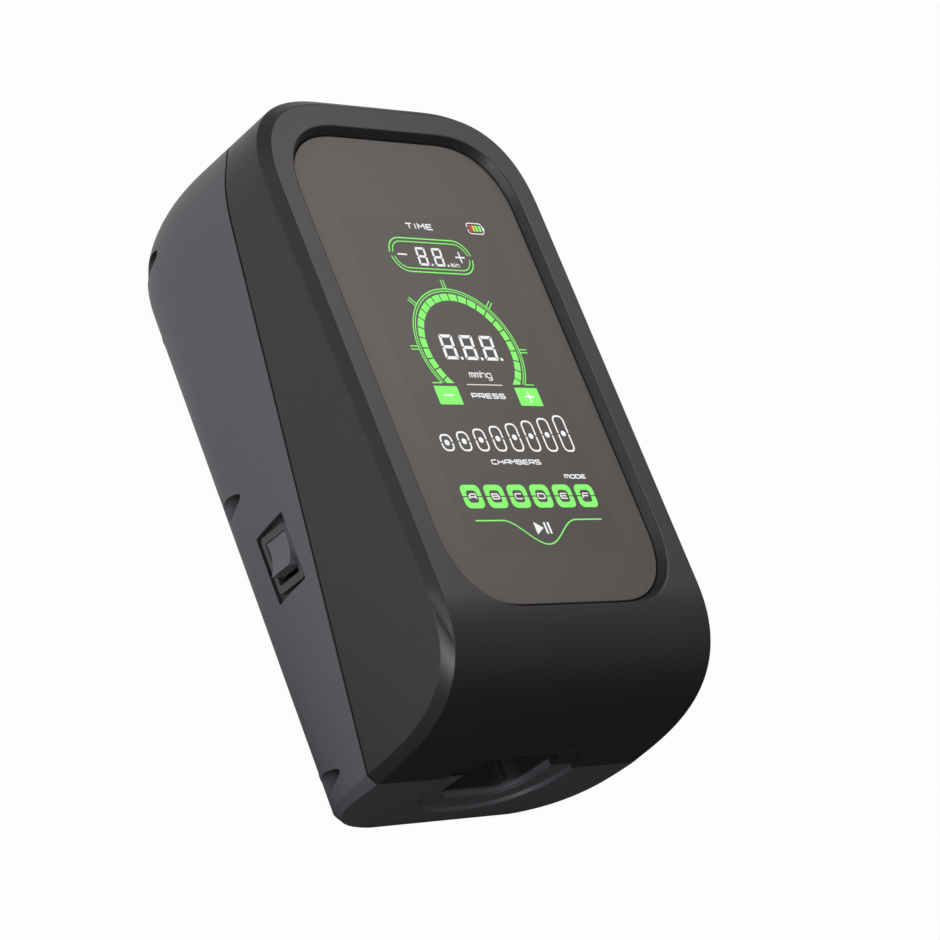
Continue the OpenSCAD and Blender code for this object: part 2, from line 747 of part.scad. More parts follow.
// Flat cable from the panel's lower edge back to the board.
flex_w = 22;
flex_t = 0.4;
module display_flex() {
    edge = panel_y - panel_l / 2 - 6;
    low = edge - 4;
    top = panel_back - bracket_t;
    color([0.75, 0.45, 0.15]) on_screen() across(flex_w) polygon([
        [edge + 8, top], [edge + 8, top - flex_t], [low + flex_t, top - flex_t],
        [low + flex_t, board_z + flex_t], [edge + 14, board_z + flex_t], [edge + 14, board_z],
        [low, board_z], [low, top]]);
}

module main_board() {
    color([0.05, 0.25, 0.15]) on_screen() difference() {
        translate([0, board_y, board_back]) linear_extrude(board_t) rounded_rect(board_w, board_l, 3);
        for (p = board_hole_places) translate([p[0], p[1], board_back - 1])
            cylinder(r = board_screw_r + 0.2, h = 5, $fn = 32);
    }
}

// Chips (place, size, height), sockets (place, half width) and capacitors on the back
// of the board, measured from its middle.
chips = [[0, 10, 14, 14, 1.4], [-24, 8, 8, 10, 1.6], [24, 8, 8, 10, 1.6], [-22, -24, 10, 6, 2.2],
         [0, -16, 6, 9, 1.2], [22, -24, 12, 12, 1.2], [-28, 34, 6, 6, 3.2], [-16, 34, 6, 6, 3.2]];
plugs = [[-30, -52, 5], [-10, -52, 7], [14, -52, 9], [-30, 56, 4], [26, 56, 6]];
plug_h = 6;
plug_wall = 1;
cans = [[12, 32], [22, 32], [32, 30], [-34, -10]];
can_r = 3.2;
can_h = 8;
module board_components() {
    color([0.1, 0.1, 0.1]) on_screen() translate([0, board_y, board_back]) {
        for (c = chips) translate([c[0] - c[2] / 2, c[1] - c[3] / 2, -c[4]]) cube([c[2], c[3], c[4]]);
        for (p = plugs) translate([p[0], p[1], -plug_h]) difference() {
            translate([-p[2], -plug_h / 2, 0]) cube([2 * p[2], plug_h, plug_h]);
            translate([-p[2] + plug_wall, -plug_h / 2 + plug_wall, -plug_wall])
                cube([2 * (p[2] - plug_wall), plug_h - 2 * plug_wall, plug_h]);
        }
        for (c = cans) translate([c[0], c[1], -can_h]) cylinder(r = can_r, h = can_h, $fn = 32);
    }
}

buzzer_place = [-8, -34];
buzzer_r = 6;
buzzer_h = 6;
module buzzer() {
    color([0.07, 0.07, 0.07]) on_screen()
        translate([buzzer_place[0], board_y + buzzer_place[1], board_back - buzzer_h]) difference() {
            cylinder(r = buzzer_r, h = buzzer_h, $fn = 48);
            translate([0, 0, -1]) cylinder(r = 1, h = 3, $fn = 24);
        }
}

sensor_x = [6, 22];
sensor_y = -38;
sensor_size = [10, 8, 4.5];
sensor_port_l = 4;
module pressure_sensors() {
    color([0.9, 0.9, 0.88]) on_screen() for (x = sensor_x)
        translate([x, board_y + sensor_y, board_back - sensor_size[2]]) {
            translate([-sensor_size[0] / 2, -sensor_size[1] / 2, 0]) cube(sensor_size);
            translate([0, 0, -sensor_port_l]) tube(1.6, 0.7, sensor_port_l + 0.5);
        }
}

board_screw_head_r = 2.2;
board_screw_head_h = 1.6;
board_screw_grip = 5;    // how far a board screw reaches into its boss
module board_screws() {
    color(steel) on_screen() for (p = board_hole_places) translate([p[0], p[1], 0]) {
        translate([0, 0, board_back - board_screw_head_h])
            cylinder(r = board_screw_head_r, h = board_screw_head_h, $fn = 32);
        translate([0, 0, board_back - eps]) cylinder(r = board_screw_r, h = board_t + board_screw_grip, $fn = 32);
    }
}

// ---- air side -------------------------------------------------------------------

module socket_slab(w, h, r, y0, y1) {
    translate([0, y0, mouth_z]) along_y() linear_extrude(y1 - y0) rounded_rect(w, h, r);
}

// Moulded socket behind the mouth, with the air nipples and two guide ribs.
rib_w = 3;
rib_h = 3.9;
rib_x = 12.4;
module hose_socket() {
    color([0.1, 0.1, 0.1]) placed() difference() {
        union() {
            difference() {
                union() {
                    socket_slab(cavity_w + 2 * socket_skin, cavity_h + 2 * socket_skin,
                                cavity_r + socket_skin, socket_wall_y, socket_end_y);
                    socket_slab(flange_w, flange_h, 10, flange_y, flange_y + flange_t);
                }
                socket_slab(cavity_w, cavity_h, cavity_r, 0, socket_depth);
            }
            for (s = [-1, 1]) translate([s * rib_x - rib_w / 2, socket_wall_y + 1, mouth_z - cavity_h / 2 + 0.6])
                cube([rib_w, socket_depth - socket_wall_y, rib_h]);
            for (p = nipple_places) translate([p[0], socket_depth - nipple_l, p[1]]) along_y()
                cylinder(d = nipple_d, h = nipple_l + socket_back_t + stub_l, $fn = 40);
        }
        for (p = nipple_places) translate([p[0], 0, p[1]]) along_y()
            cylinder(d = nipple_bore, h = 60, $fn = 32);
    }
}

module socket_seal() {
    skin = 2 * (socket_skin + push_fit);
    color(rubber_black) placed() difference() {
        socket_slab(flange_w - 1, flange_h - 1, 9.5, socket_wall_y, socket_wall_y + seal_t);
        socket_slab(cavity_w + skin, cavity_h + skin, cavity_r + skin / 2, socket_wall_y - 1, socket_wall_y + 5);
    }
}

// Eight short tubes in line from the socket's stubs to the manifold's.
module outlet_tubes() {
    color([0.85, 0.87, 0.85]) placed() for (p = nipple_places)
        translate([p[0], socket_end_y + 0.2, p[1]]) along_y()
            tube(nipple_d / 2 + 1, nipple_d / 2 + push_fit, manifold_y[0] - socket_end_y - 0.4);
}

module valve_manifold() {
    color([0.75, 0.76, 0.78]) placed() difference() {
        union() {
            block([-manifold_half, manifold_half], manifold_y, manifold_z);
            block([-manifold_ear_x - 4, manifold_ear_x + 4], [manifold_mid_y - 4, manifold_mid_y + 4],
                  manifold_ear_z);
            for (p = nipple_places) translate([p[0], manifold_y[0] - stub_l, p[1]]) along_y()
                cylinder(d = nipple_d, h = stub_l + 1, $fn = 40);
            translate([0, manifold_y[1] - 1, pump_z]) along_y() cylinder(r = pipe_r, h = pipe_l + 1, $fn = 40);
        }
        for (p = nipple_places) translate([p[0], manifold_y[0] - stub_l - 1, p[1]]) along_y()
            cylinder(d = nipple_bore, h = stub_l + 9, $fn = 32);
        translate([0, manifold_mid_y, pump_z]) along_y() cylinder(r = pipe_bore, h = 60, $fn = 32);
        for (p = manifold_screw_places) translate([p[0], p[1], 0])
            cylinder(r = small_screw_r + 0.2, h = 100, $fn = 32);
    }
}

// One sealed valve: base plate, round can with its plunger inside, cap and two pins.
valve_w = 12;
valve_base_l = 14;
valve_can_r = 5.6;
valve_pin_x = 2.5;
valve_pin_r = 0.6;
valve_pin_l = 2.2;
module valve() {
    top = valve_base_h + valve_can_h;
    translate([-valve_w / 2, -valve_base_l / 2, 0]) cube([valve_w, valve_base_l, valve_base_h]);
    translate([0, 0, valve_base_h - eps]) cylinder(r = valve_can_r, h = valve_can_h + 2 * eps, $fn = 40);
    translate([-valve_w / 2, -valve_w / 2, top]) cube([valve_w, valve_w, valve_cap_h]);
    for (s = [-1, 1]) translate([s * valve_pin_x, 0, top])
        cylinder(r = valve_pin_r, h = valve_cap_h + valve_pin_l, $fn = 16);
}

module solenoid_valves() {
    color([0.82, 0.8, 0.72]) placed() for (i = [0:3], top = [0, 1])
        translate([(i - 1.5) * valve_pitch, manifold_mid_y, manifold_z[top]])
            rotate([top ? 0 : 180, 0, 0]) valve();
}

module supply_tube() {
    from = manifold_y[1] + 0.2;
    color([0.85, 0.87, 0.85]) placed() translate([0, from, pump_z]) along_y()
        tube(pipe_r + 1.2, pipe_r + push_fit, pump_front_y - 0.2 - from);
}

// ---- pump -----------------------------------------------------------------------

module pump_cover() {
    color([0.2, 0.2, 0.22]) placed() difference() {
        union() {
            block([-crankcase_half, crankcase_half], [pump_front_y, crankcase_y[0]],
                  [pump_z - crankcase_rise, pump_z + crankcase_rise]);
            translate([0, pump_front_y - pipe_l, pump_z]) along_y()
                cylinder(r = pipe_r, h = pipe_l + 1, $fn = 40);
        }
        translate([0, pump_front_y - pipe_l - 1, pump_z]) along_y() cylinder(r = pipe_bore, h = 30, $fn = 32);
    }
}

// Crankcase with a chamber for the yoke, guide bores for its rods and a bowl at each side.
module pump_housing() {
    color([0.24, 0.24, 0.26]) placed() difference() {
        union() {
            block([-crankcase_half, crankcase_half], crankcase_y, [pump_z - crankcase_rise, pump_z + crankcase_rise]);
            for (s = [-1, 1]) block([s * 15 - 4, s * 15 + 4], [crankcase_y[0] + 4, crankcase_y[1] - 2],
                                    [bracket_z[1], pump_z - crankcase_rise + 1]);
        }
        block([-case_half_x, case_half_x], [crankcase_y[0] - 1, crankcase_y[0] + chamber_l],
              [pump_z - yoke_half_z - 1, pump_z + yoke_half_z + 1]);
        translate([-crankcase_half - 1, (yoke_y[0] + yoke_y[1]) / 2, pump_z]) rotate([0, 90, 0])
            cylinder(r = rod_r + run_fit, h = 2 * crankcase_half + 2, $fn = 32);
        for (s = [0, 1]) mirror([s, 0, 0]) translate([bowl_x, bowl_y, pump_z])
            rotate([0, 90, 0]) cylinder(r = bowl_r, h = 20, $fn = 56);
        translate([0, crankcase_y[0], pump_z]) along_y()
            cylinder(r = crank_shaft_r + run_fit, h = 60, $fn = 32);
    }
}

module pump_end_caps() {
    color([0.2, 0.2, 0.22]) placed() for (s = [0, 1]) mirror([s, 0, 0])
        translate([0, bowl_y, pump_z]) rotate([0, 90, 0]) {
            translate([0, 0, cap_plug_x]) cylinder(r = bowl_r - push_fit, h = crankcase_half - cap_plug_x, $fn = 56);
            translate([0, 0, crankcase_half]) cylinder(r = bowl_r + 2.5, h = cap_flange_t, $fn = 56);
        }
}

module pump_motor() {
    color(steel) placed() translate([0, motor_y, pump_z]) along_y() difference() {
        union() {
            cylinder(d = motor_d, h = motor_l, $fn = 72);
            translate([0, 0, motor_l - eps]) cylinder(r = 5, h = 2.5, $fn = 40);
            for (s = [-1, 1]) translate([s * 8 - 1.5, -0.4, motor_l - eps]) cube([3, 0.8, 2.6]);
        }
        translate([0, 0, -1]) cylinder(r = crank_shaft_r + run_fit, h = motor_l - 4, $fn = 32);
    }
}

// Shaft, disc and eccentric pin.  At rest the pin stands behind the shaft (low z).
shaft_short = 8;         // the shaft ends this far before the motor's back
module pump_crank() {
    color([0.6, 0.6, 0.62]) placed() translate([0, 0, pump_z]) {
        translate([0, crank_disc_y[1] - eps, 0]) along_y()
            cylinder(r = crank_shaft_r, h = motor_y + motor_l - shaft_short - crank_disc_y[1], $fn = 32);
        translate([0, crank_disc_y[0], 0]) along_y()
            cylinder(r = 4, h = crank_disc_y[1] - crank_disc_y[0], $fn = 40);
        translate([0, yoke_y[0] - 1, -crank_throw]) along_y()
            cylinder(r = crank_pin_r, h = crank_disc_y[0] - yoke_y[0] + 1 + eps, $fn = 32);
    }
}

module pump_yoke() {
    color([0.8, 0.8, 0.8]) placed() difference() {
        union() {
            block([-yoke_half_x, yoke_half_x], yoke_y, [pump_z - yoke_half_z, pump_z + yoke_half_z]);
            for (s = [0, 1]) mirror([s, 0, 0]) translate([yoke_half_x - 1, (yoke_y[0] + yoke_y[1]) / 2, pump_z])
                rotate([0, 90, 0]) cylinder(r = rod_r, h = disc_x - yoke_half_x + 1, $fn = 32);
        }
        block([-window_x, window_x], [yoke_y[0] - 1, yoke_y[1] + 1], [pump_z - window_z, pump_z + window_z]);
    }
}

module pump_diaphragms() {
    color(rubber_black) placed() for (s = [0, 1]) mirror([s, 0, 0])
        translate([disc_x, bowl_y, pump_z]) rotate([0, 90, 0])
            cylinder(r = disc_r, h = disc_t, $fn = 56);
}

// Steel plate under the pump with a saddle for the motor.
module pump_bracket() {
    color(steel) placed() difference() {
        union() {
            block([-bracket_half, bracket_half], [crankcase_y[0] - 2, motor_y + bracket_end], bracket_z);
            block([-motor_d / 2, motor_d / 2], [motor_y + saddle[0], motor_y + saddle[1]],
                  [bracket_z[0], pump_z - 5]);
        }
        translate([0, 0, pump_z]) along_y() cylinder(r = motor_d / 2 + push_fit, h = far, $fn = 72);
        for (p = pump_screw_places) translate([p[0], p[1], 0])
            cylinder(r = small_screw_r + 0.2, h = 40, $fn = 32);
    }
}

module pump_dampers() {
    color(rubber_black) placed() for (p = pump_screw_places) translate([p[0], p[1], damper_z])
        tube(damper_r, small_screw_r + 0.2, bracket_z[0] - damper_z);
}

module intake_silencer() {
    color([0.3, 0.3, 0.3]) placed() translate([0, crankcase_y[0] + 9, pump_z + crankcase_rise]) {
        cylinder(r = 3, h = 2, $fn = 32);
        translate([0, 0, 2 - eps]) cylinder(r = 6.5, h = 9, $fn = 48);
    }
}

// ---- battery ----------------------------------------------------------------------

module battery_cells() {
    color([0.15, 0.35, 0.6]) placed() for (i = [-0.5, 0.5], j = [0.5, 1.5])
        translate([-cell_l / 2, tray_mid_y + i * cell_pitch, tray_z + tray_wall + seat_gap + (j - 0.5) * cell_pitch + cell_d / 2])
            rotate([0, 90, 0]) {
                cylinder(d = cell_d, h = cell_l - 1, $fn = 56);
                translate([0, 0, cell_l - 1 - eps]) cylinder(d = cell_d / 3, h = 1, $fn = 32);
            }
}

module battery_tray() {
    color([0.12, 0.12, 0.12]) placed() difference() {
        union() {
            block([-tray_half_x, tray_half_x], [tray_mid_y - tray_half_y, tray_mid_y + tray_half_y],
                  [tray_z, tray_z + cell_d * 1.4]);
            block([-tray_ear_x - 3.2, tray_ear_x + 3.2], [tray_ear_y - 5, tray_ear_y + 5], [tray_z, tray_z + tray_ear_t]);
        }
        block([-tray_half_x + tray_wall, tray_half_x - tray_wall],
              [tray_mid_y - tray_half_y + tray_wall, tray_mid_y + tray_half_y - tray_wall],
              [tray_z + tray_wall, far]);
        for (p = tray_screw_places) translate([p[0], p[1], 0])
            cylinder(r = small_screw_r + 0.2, h = 20, $fn = 32);
    }
}

// Screws of the manifold, the pump and the battery tray, each down into its post.
module chassis_screw(seat, length) {
    translate([0, 0, seat]) cylinder(r = small_head_r, h = small_head_h, $fn = 32);
    translate([0, 0, seat - length]) cylinder(r = small_screw_r, h = length + eps, $fn = 32);
}

module chassis_screws() {
    color(steel) placed() {
        for (p = manifold_screw_places) translate([p[0], p[1], 0]) chassis_screw(manifold_ear_z[1], 12);
        for (p = pump_screw_places) translate([p[0], p[1], 0]) chassis_screw(bracket_z[1], 11);
        for (p = tray_screw_places) translate([p[0], p[1], 0]) chassis_screw(tray_z + tray_ear_t, 6);
    }
}

// ---- switch -------------------------------------------------------------------------

module switch_body() {
    back = switch_face_x + switch_body_depth;
    pocket = pivot_x + 4.5;
    color([0.13, 0.13, 0.13]) placed() {
        difference() {
            union() {
                translate([switch_face_x, switch_y, switch_z]) rotate([0, 90, 0])
                    linear_extrude(switch_frame_t) rounded_rect(switch_frame_h, switch_frame_l, 1.6);
                block([switch_face_x + switch_frame_t - eps, back],
                      [switch_y - switch_hole_l / 2, switch_y + switch_hole_l / 2],
                      [switch_z - switch_hole_h / 2, switch_z + switch_hole_h / 2]);
            }
            block([switch_face_x - 1, pocket], [switch_y - aperture_half, switch_y + aperture_half],
                  [switch_z - rocker_h / 2 - rocker_gap, switch_z + rocker_h / 2 + rocker_gap]);
        }
        translate([pivot_x, switch_y, switch_z - rocker_h / 2 - 1])
            cylinder(r = rocker_pin_r, h = rocker_h + 2, $fn = 32);
    }
}

// The rocker's side view, centred on its pivot: v points out of the switch.
// Its face is an arc that dips in the middle; its ends lean in towards the pivot.
dip_r = (rocker_half * rocker_half + rocker_dip * rocker_dip) / (2 * rocker_dip);
dip_half = asin(rocker_half / dip_r);
face_steps = 12;
rocker_profile = concat(
    [for (i = [0:face_steps]) let (a = dip_half * (2 * i / face_steps - 1))
        [dip_r * sin(a), rocker_rise - rocker_dip + dip_r * (1 - cos(a))]],
    [[rocker_half - 1.3, -0.2], [2, -2.2], [-2, -2.2], [-rocker_half + 1.3, -0.2]]);

module switch_rocker() {
    color([0.16, 0.16, 0.17]) placed() translate([pivot_x, switch_y, switch_z - rocker_h / 2])
        rotate(-rocker_throw) difference() {
            rotate(90) linear_extrude(rocker_h) polygon(rocker_profile);
            translate([0, 0, -1]) cylinder(r = rocker_pin_r + run_fit, h = rocker_h + 2, $fn = 32);
        }
}

module switch_terminals() {
    back = switch_face_x + switch_body_depth;
    color([0.8, 0.65, 0.35]) placed() for (y = [-4.5, 4.5])
        block([back, back + 8], [switch_y + y - 0.4, switch_y + y + 0.4], [switch_z - 2.4, switch_z + 2.4]);
}

// ---- charging inlet -------------------------------------------------------------------

module charge_inlet() {
    face = half_w - 0.4;
    color([0.08, 0.08, 0.08]) placed() translate([0, inlet_y, inlet_z]) rotate([0, 90, 0]) {
        difference() {
            union() {
                translate([0, 0, half_w - inlet_recess_d]) cylinder(r = inlet_flange_r, h = inlet_recess_d - 0.4, $fn = 48);
                translate([0, 0, face - inlet_len]) cylinder(r = inlet_barrel_r, h = inlet_len - 0.1, $fn = 48);
            }
            translate([0, 0, face - 9.5]) cylinder(r = inlet_bore_r, h = 20, $fn = 40);
        }
        translate([0, 0, face - 9.6]) cylinder(r = 1, h = 5, $fn = 24);
        for (s = [-1, 1]) translate([s * 1.8 - 0.6, -0.3, face - inlet_len - 3]) cube([1.2, 0.6, 3.1]);
    }
}

module inlet_nut() {
    color(steel) placed() translate([inlet_wall_x - 2.5, inlet_y, inlet_z]) rotate([0, 90, 0]) difference() {
        cylinder(r = inlet_barrel_r + 2.6, h = 2.5, $fn = 6);
        translate([0, 0, -1]) cylinder(r = inlet_barrel_r + push_fit, h = 5, $fn = 48);
    }
}

front_shell();
rear_shell();
touch_glass();
glass_gasket();
lcd_panel();
lcd_bracket();
display_flex();
main_board();
board_components();
buzzer();
pressure_sensors();
battery_cells();
battery_tray();
pump_motor();
pump_housing();
pump_cover();
pump_end_caps();
pump_crank();
pump_yoke();
pump_diaphragms();
pump_bracket();
pump_dampers();
intake_silencer();
valve_manifold();
solenoid_valves();
supply_tube();
outlet_tubes();
hose_socket();
socket_seal();
switch_body();
switch_rocker();
switch_terminals();
charge_inlet();
inlet_nut();
case_screws();
board_screws();
chassis_screws();
rubber_feet();
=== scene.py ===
"""Looks of a compression therapy pump, built round its packed construction model.

Lengths in the code are in millimetres and turn into metres in make_mesh().
The housing is worked out in its own frame: x across, y from the socket end, z from the back.
"""

import json
import math
from types import SimpleNamespace

import bpy
import bmesh
import numpy as np
from mathutils import Matrix, Vector


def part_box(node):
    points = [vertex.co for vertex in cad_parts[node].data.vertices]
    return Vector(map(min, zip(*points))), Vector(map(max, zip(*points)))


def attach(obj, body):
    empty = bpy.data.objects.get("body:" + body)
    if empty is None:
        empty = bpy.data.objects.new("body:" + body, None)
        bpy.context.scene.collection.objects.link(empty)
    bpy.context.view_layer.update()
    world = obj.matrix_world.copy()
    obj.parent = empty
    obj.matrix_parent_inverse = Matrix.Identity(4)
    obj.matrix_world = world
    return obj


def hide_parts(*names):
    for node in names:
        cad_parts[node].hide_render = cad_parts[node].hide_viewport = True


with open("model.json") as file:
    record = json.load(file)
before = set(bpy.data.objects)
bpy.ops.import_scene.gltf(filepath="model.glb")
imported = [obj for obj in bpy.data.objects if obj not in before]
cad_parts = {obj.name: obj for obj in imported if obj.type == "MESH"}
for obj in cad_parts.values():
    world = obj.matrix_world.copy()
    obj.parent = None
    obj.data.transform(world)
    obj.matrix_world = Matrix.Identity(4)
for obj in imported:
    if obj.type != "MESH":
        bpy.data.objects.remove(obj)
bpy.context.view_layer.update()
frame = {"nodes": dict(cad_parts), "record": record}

bl_info = {
    "name": "Compression therapy pump",
    "version": (1, 0, 0),
    "blender": (4, 5, 0),
    "location": "View3D > Sidebar > Pump",
    "description": "Builds the pump's housing, screen, switch, socket and finishes",
    "category": "Add Mesh",
}

MM = 0.001
BODY = "housing"
SHELL_LO, SHELL_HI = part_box("rear_shell")
FRONT_LO, FRONT_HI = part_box("front_shell")


# ---- sizes and finishes --------------------------------------------------------------


def length(name, description, default_mm):
    """A length property whose default is given in millimetres."""
    return bpy.props.FloatProperty(
        name=name, description=description, default=default_mm * MM, unit="LENGTH", precision=5
    )


def colour(name, description, default):
    """A colour property in linear values."""
    return bpy.props.FloatVectorProperty(
        name=name, description=description, default=default, subtype="COLOR", size=3,
        min=0, max=1
    )


def number(name, description, default):
    """A property without a unit."""
    return bpy.props.FloatProperty(name=name, description=description, default=default)


class PumpHousingSizes(bpy.types.PropertyGroup):
    """Sizes of the two shells."""

    width: length("Width", "Across the screen", (FRONT_HI[0] - FRONT_LO[0]) / MM)
    body_length: length("Length", "From the socket end to the top", (SHELL_HI[1] - SHELL_LO[1]) / MM)
    foot_height: length("Foot height", "Back plane above the table", SHELL_LO[2] / MM)
    glass_height: length("Glass height", "Glass face above the back", 84.8)
    gauge_y: length("Gauge place", "Gauge centre from the socket end", 124.6)
    rake: number("Rake", "Tilt of the screen in degrees", 1.0)
    wall: length("Wall", "Thickness of the shells", 2.6)
    corner: length("Corner", "Semi-axis of the top corners", 39.0)
    rear_depth: length("Rear depth", "Depth of the rounded rear", 47.5)
    top_round: length("Top rounding", "How far the top end rounds in", 45.0)
    chamfer: length("Chamfer", "Width of the front chamfer", 3.2)
    end_chamfer: length("End chamfer", "Chamfers beside the socket end, behind the parting", 2.4)
    end_edge: length("End edge", "Softened edge between the socket end and the back", 1.4)
    edge_softness: length("Edge softness", "Radius on the chamfer's edges", 0.7)
    gap: length("Shadow gap", "Gap between the shells", 0.8)
    gap_depth: length("Gap depth", "Depth of the gap", 1.0)


class PumpScreenSizes(bpy.types.PropertyGroup):
    """Sizes of the glass and its recess."""

    glass_width: length("Glass width", "Across the screen", 94.4)
    glass_top: length("Glass top", "Top edge above the gauge centre", 78.6)
    glass_bottom: length("Glass bottom", "Lower edge below the gauge centre", 90.4)
    glass_corner: length("Glass corner", "Semi-axis of its corners", 26.0)
    glass_thickness: length("Glass thickness", "Of the cover glass", 1.8)
    recess: length("Recess", "Depth of the glass below the frame", 2.9)
    glass_gap: length("Gap", "Gap round the glass", 0.45)
    flare: length("Flare", "How far the recess flares out", 1.65)
    unit: length("Sign unit", "Unit of length in which the signs are drawn", 0.916)


class PumpColours(bpy.types.PropertyGroup):
    """Colours of what shows."""

    front: colour("Front shell", "Moulded front", (0.018, 0.0178, 0.0182))
    rear: colour("Rear shell", "Moulded rear", (0.087, 0.089, 0.099))
    glass: colour("Glass", "Tinted cover glass", (0.103, 0.095, 0.087))
    display: colour("Display area", "Unlit part of the display", (0.095, 0.087, 0.08))
    lit_green: colour("Green signs", "Lit green", (0.27, 1.0, 0.18))
    lit_white: colour("White signs", "Lit white", (0.95, 0.95, 0.95))
    lit_red: colour("Red sign", "Lowest battery bar", (0.8, 0.05, 0.03))
    lit_yellow: colour("Yellow sign", "Second battery bar", (0.85, 0.62, 0.08))


def sizes():
    """The property groups as plain millimetres."""
    out = SimpleNamespace()
    for group in (bpy.context.scene.pump_housing, bpy.context.scene.pump_screen):
        for key in group.bl_rna.properties.keys():
            if key in ("rna_type", "name"):
                continue
            value = getattr(group, key)
            setattr(out, key, value if key == "rake" else value / MM)
    out.half = out.width / 2
    out.tan = math.tan(math.radians(out.rake))
    out.cos = math.cos(math.radians(out.rake))
    out.sin = math.sin(math.radians(out.rake))
    return out


# ---- meshes ----------------------------------------------------------------------------


def in_row(points, s):
    """Points of the housing's own frame, in metres in the shared frame."""
    p = np.asarray(points, float)
    return (p + np.array([0, -s.body_length / 2, s.foot_height])) * MM


def on_screen(points, s):
    """Points of the screen's frame (gauge centre, face of the glass) in the housing's frame."""
    p = np.asarray(points, float)
    x, u, t = p[:, 0], p[:, 1], p[:, 2]
    return np.stack(
        [x, s.gauge_y + t * s.sin + u * s.cos, s.glass_height + t * s.cos - u * s.sin], axis=1
    )


def make_mesh(name, points, faces, s):
    """An object from points in the housing's frame."""
    mesh = bpy.data.meshes.new(name)
    mesh.from_pydata([tuple(p) for p in in_row(points, s)], [], [list(f) for f in faces])
    bm = bmesh.new()
    bm.from_mesh(mesh)
    bmesh.ops.remove_doubles(bm, verts=bm.verts, dist=2e-6)
    bmesh.ops.dissolve_degenerate(bm, edges=bm.edges, dist=1e-6)
    bmesh.ops.recalc_face_normals(bm, faces=bm.faces)
    bm.to_mesh(mesh)
    bm.free()
    obj = bpy.data.objects.new(name, mesh)
    bpy.context.scene.collection.objects.link(obj)
    return obj


def loft(name, loops, s):
    """A closed solid through loops of equally many points, with a flat cap at each end."""
    n = len(loops[0])
    points = np.concatenate([np.asarray(loop, float) for loop in loops])
    faces = [
        (i * n + j, i * n + (j + 1) % n, (i + 1) * n + (j + 1) % n, (i + 1) * n + j)
        for i in range(len(loops) - 1) for j in range(n)
    ]
    faces.append(range(n))
    faces.append([(len(loops) - 1) * n + j for j in reversed(range(n))])
    return make_mesh(name, points, faces, s)


def carve(piece, cutter, operation="DIFFERENCE"):
    """Joins, cuts or intersects piece with cutter, which is used up."""
    modifier = piece.modifiers.new("carve", "BOOLEAN")
    modifier.operation = operation
    modifier.solver = "MANIFOLD"
    modifier.object = cutter
    bake(piece)
    bpy.data.objects.remove(cutter, do_unlink=True)
    return piece


def bake(piece):
    """Turns the piece's modifiers into its mesh."""
    depsgraph = bpy.context.evaluated_depsgraph_get()
    mesh = bpy.data.meshes.new_from_object(piece.evaluated_get(depsgraph))
    piece.modifiers.clear()
    old = piece.data
    piece.data = mesh
    bpy.data.meshes.remove(old)


def bevel(piece, width, segments, angle):
    """Rounds the edges that turn by more than the angle."""
    modifier = piece.modifiers.new("bevel", "BEVEL")
    modifier.width = width * MM
    modifier.segments = segments
    modifier.limit_method = "ANGLE"
    modifier.angle_limit = math.radians(angle)
    bake(piece)


def smooth(piece, angle=32):
    """Smooth shading that keeps real edges and flat faces."""
    piece.data.polygons.foreach_set("use_smooth", [True] * len(piece.data.polygons))
    piece.data.set_sharp_from_angle(angle=math.radians(angle))
    modifier = piece.modifiers.new("flat_faces", "WEIGHTED_NORMAL")
    modifier.keep_sharp = True
    modifier.weight = 80
    bake(piece)


def dress(piece, material, slot, *nodes, body=BODY):
    """Gives a finished piece its material and its body, and hides the construction parts that it stands
    for.
    """
    piece.data.materials.clear()
    piece.data.materials.append(material)
    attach(piece, body)
    if nodes:
        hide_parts(*nodes)


# ---- outlines ---------------------------------------------------------------------------

REAR_EXP = 3.8
TOP_EXP = 2.2
CORNER_EXP = 2.6
GLASS_EXP = 2.4
PORT_EXP = 2.3


def draw_in(u, p):
    """How far a superellipse has come in at the share u of its depth."""
    return 1 - max(0.0, 1 - u**p) ** (1 / p)


def quarter(rx, ry, p, n):
    """A quarter of a superellipse from (rx, 0) to (0, ry)."""
    a = np.radians(np.linspace(0, 90, n + 1))
    c, q = np.clip(np.cos(a), 0, 1), np.clip(np.sin(a), 0, 1)
    c[-1] = q[0] = 0
    return np.stack([rx * c ** (2 / p), ry * q ** (2 / p)], axis=1)


def oval(rx, ry, p, n=24):
    """A closed superellipse."""
    q = quarter(rx, ry, p, n)
    right_up, left_up = q[:-1], (q * [-1, 1])[::-1][:-1]
    return np.concatenate([right_up, left_up, -right_up, (q * [1, -1])[::-1][:-1]])


def circle(r, n):
    """A closed circle of n points."""
    a = 2 * math.pi * np.arange(n) / n
    return np.stack([r * np.cos(a), r * np.sin(a)], axis=1)


def rect(x0, x1, y0, y1):
    """A closed rectangle."""
    return [(x0, y0), (x1, y0), (x1, y1), (x0, y1)]


def round_rect(w, h, r, n=6):
    """A closed rectangle with round corners, centred."""
    out = []
    for sx, sy, start in ((1, 1, 0), (-1, 1, 90), (-1, -1, 180), (1, -1, 270)):
        for i in range(n + 1):
            a = math.radians(start + 90 * i / n)
            out.append((sx * (w / 2 - r) + r * math.cos(a), sy * (h / 2 - r) + r * math.sin(a)))
    return np.array(out)


def glass_outline(s, grow, n=20):
    """The glass's outline in the screen's frame, grown by a margin."""
    r = s.glass_corner + grow
    cx = s.glass_width / 2 + grow - r
    up = s.glass_top + grow - r
    down = -s.glass_bottom - grow + r
    q = quarter(r, r, GLASS_EXP, n)
    a = q + [cx, up]
    b = (q * [-1, 1] + [-cx, up])[::-1]
    c = q * [-1, -1] + [-cx, down]
    d = (q * [1, -1] + [cx, down])[::-1]
    return np.concatenate([a, b, c, d])


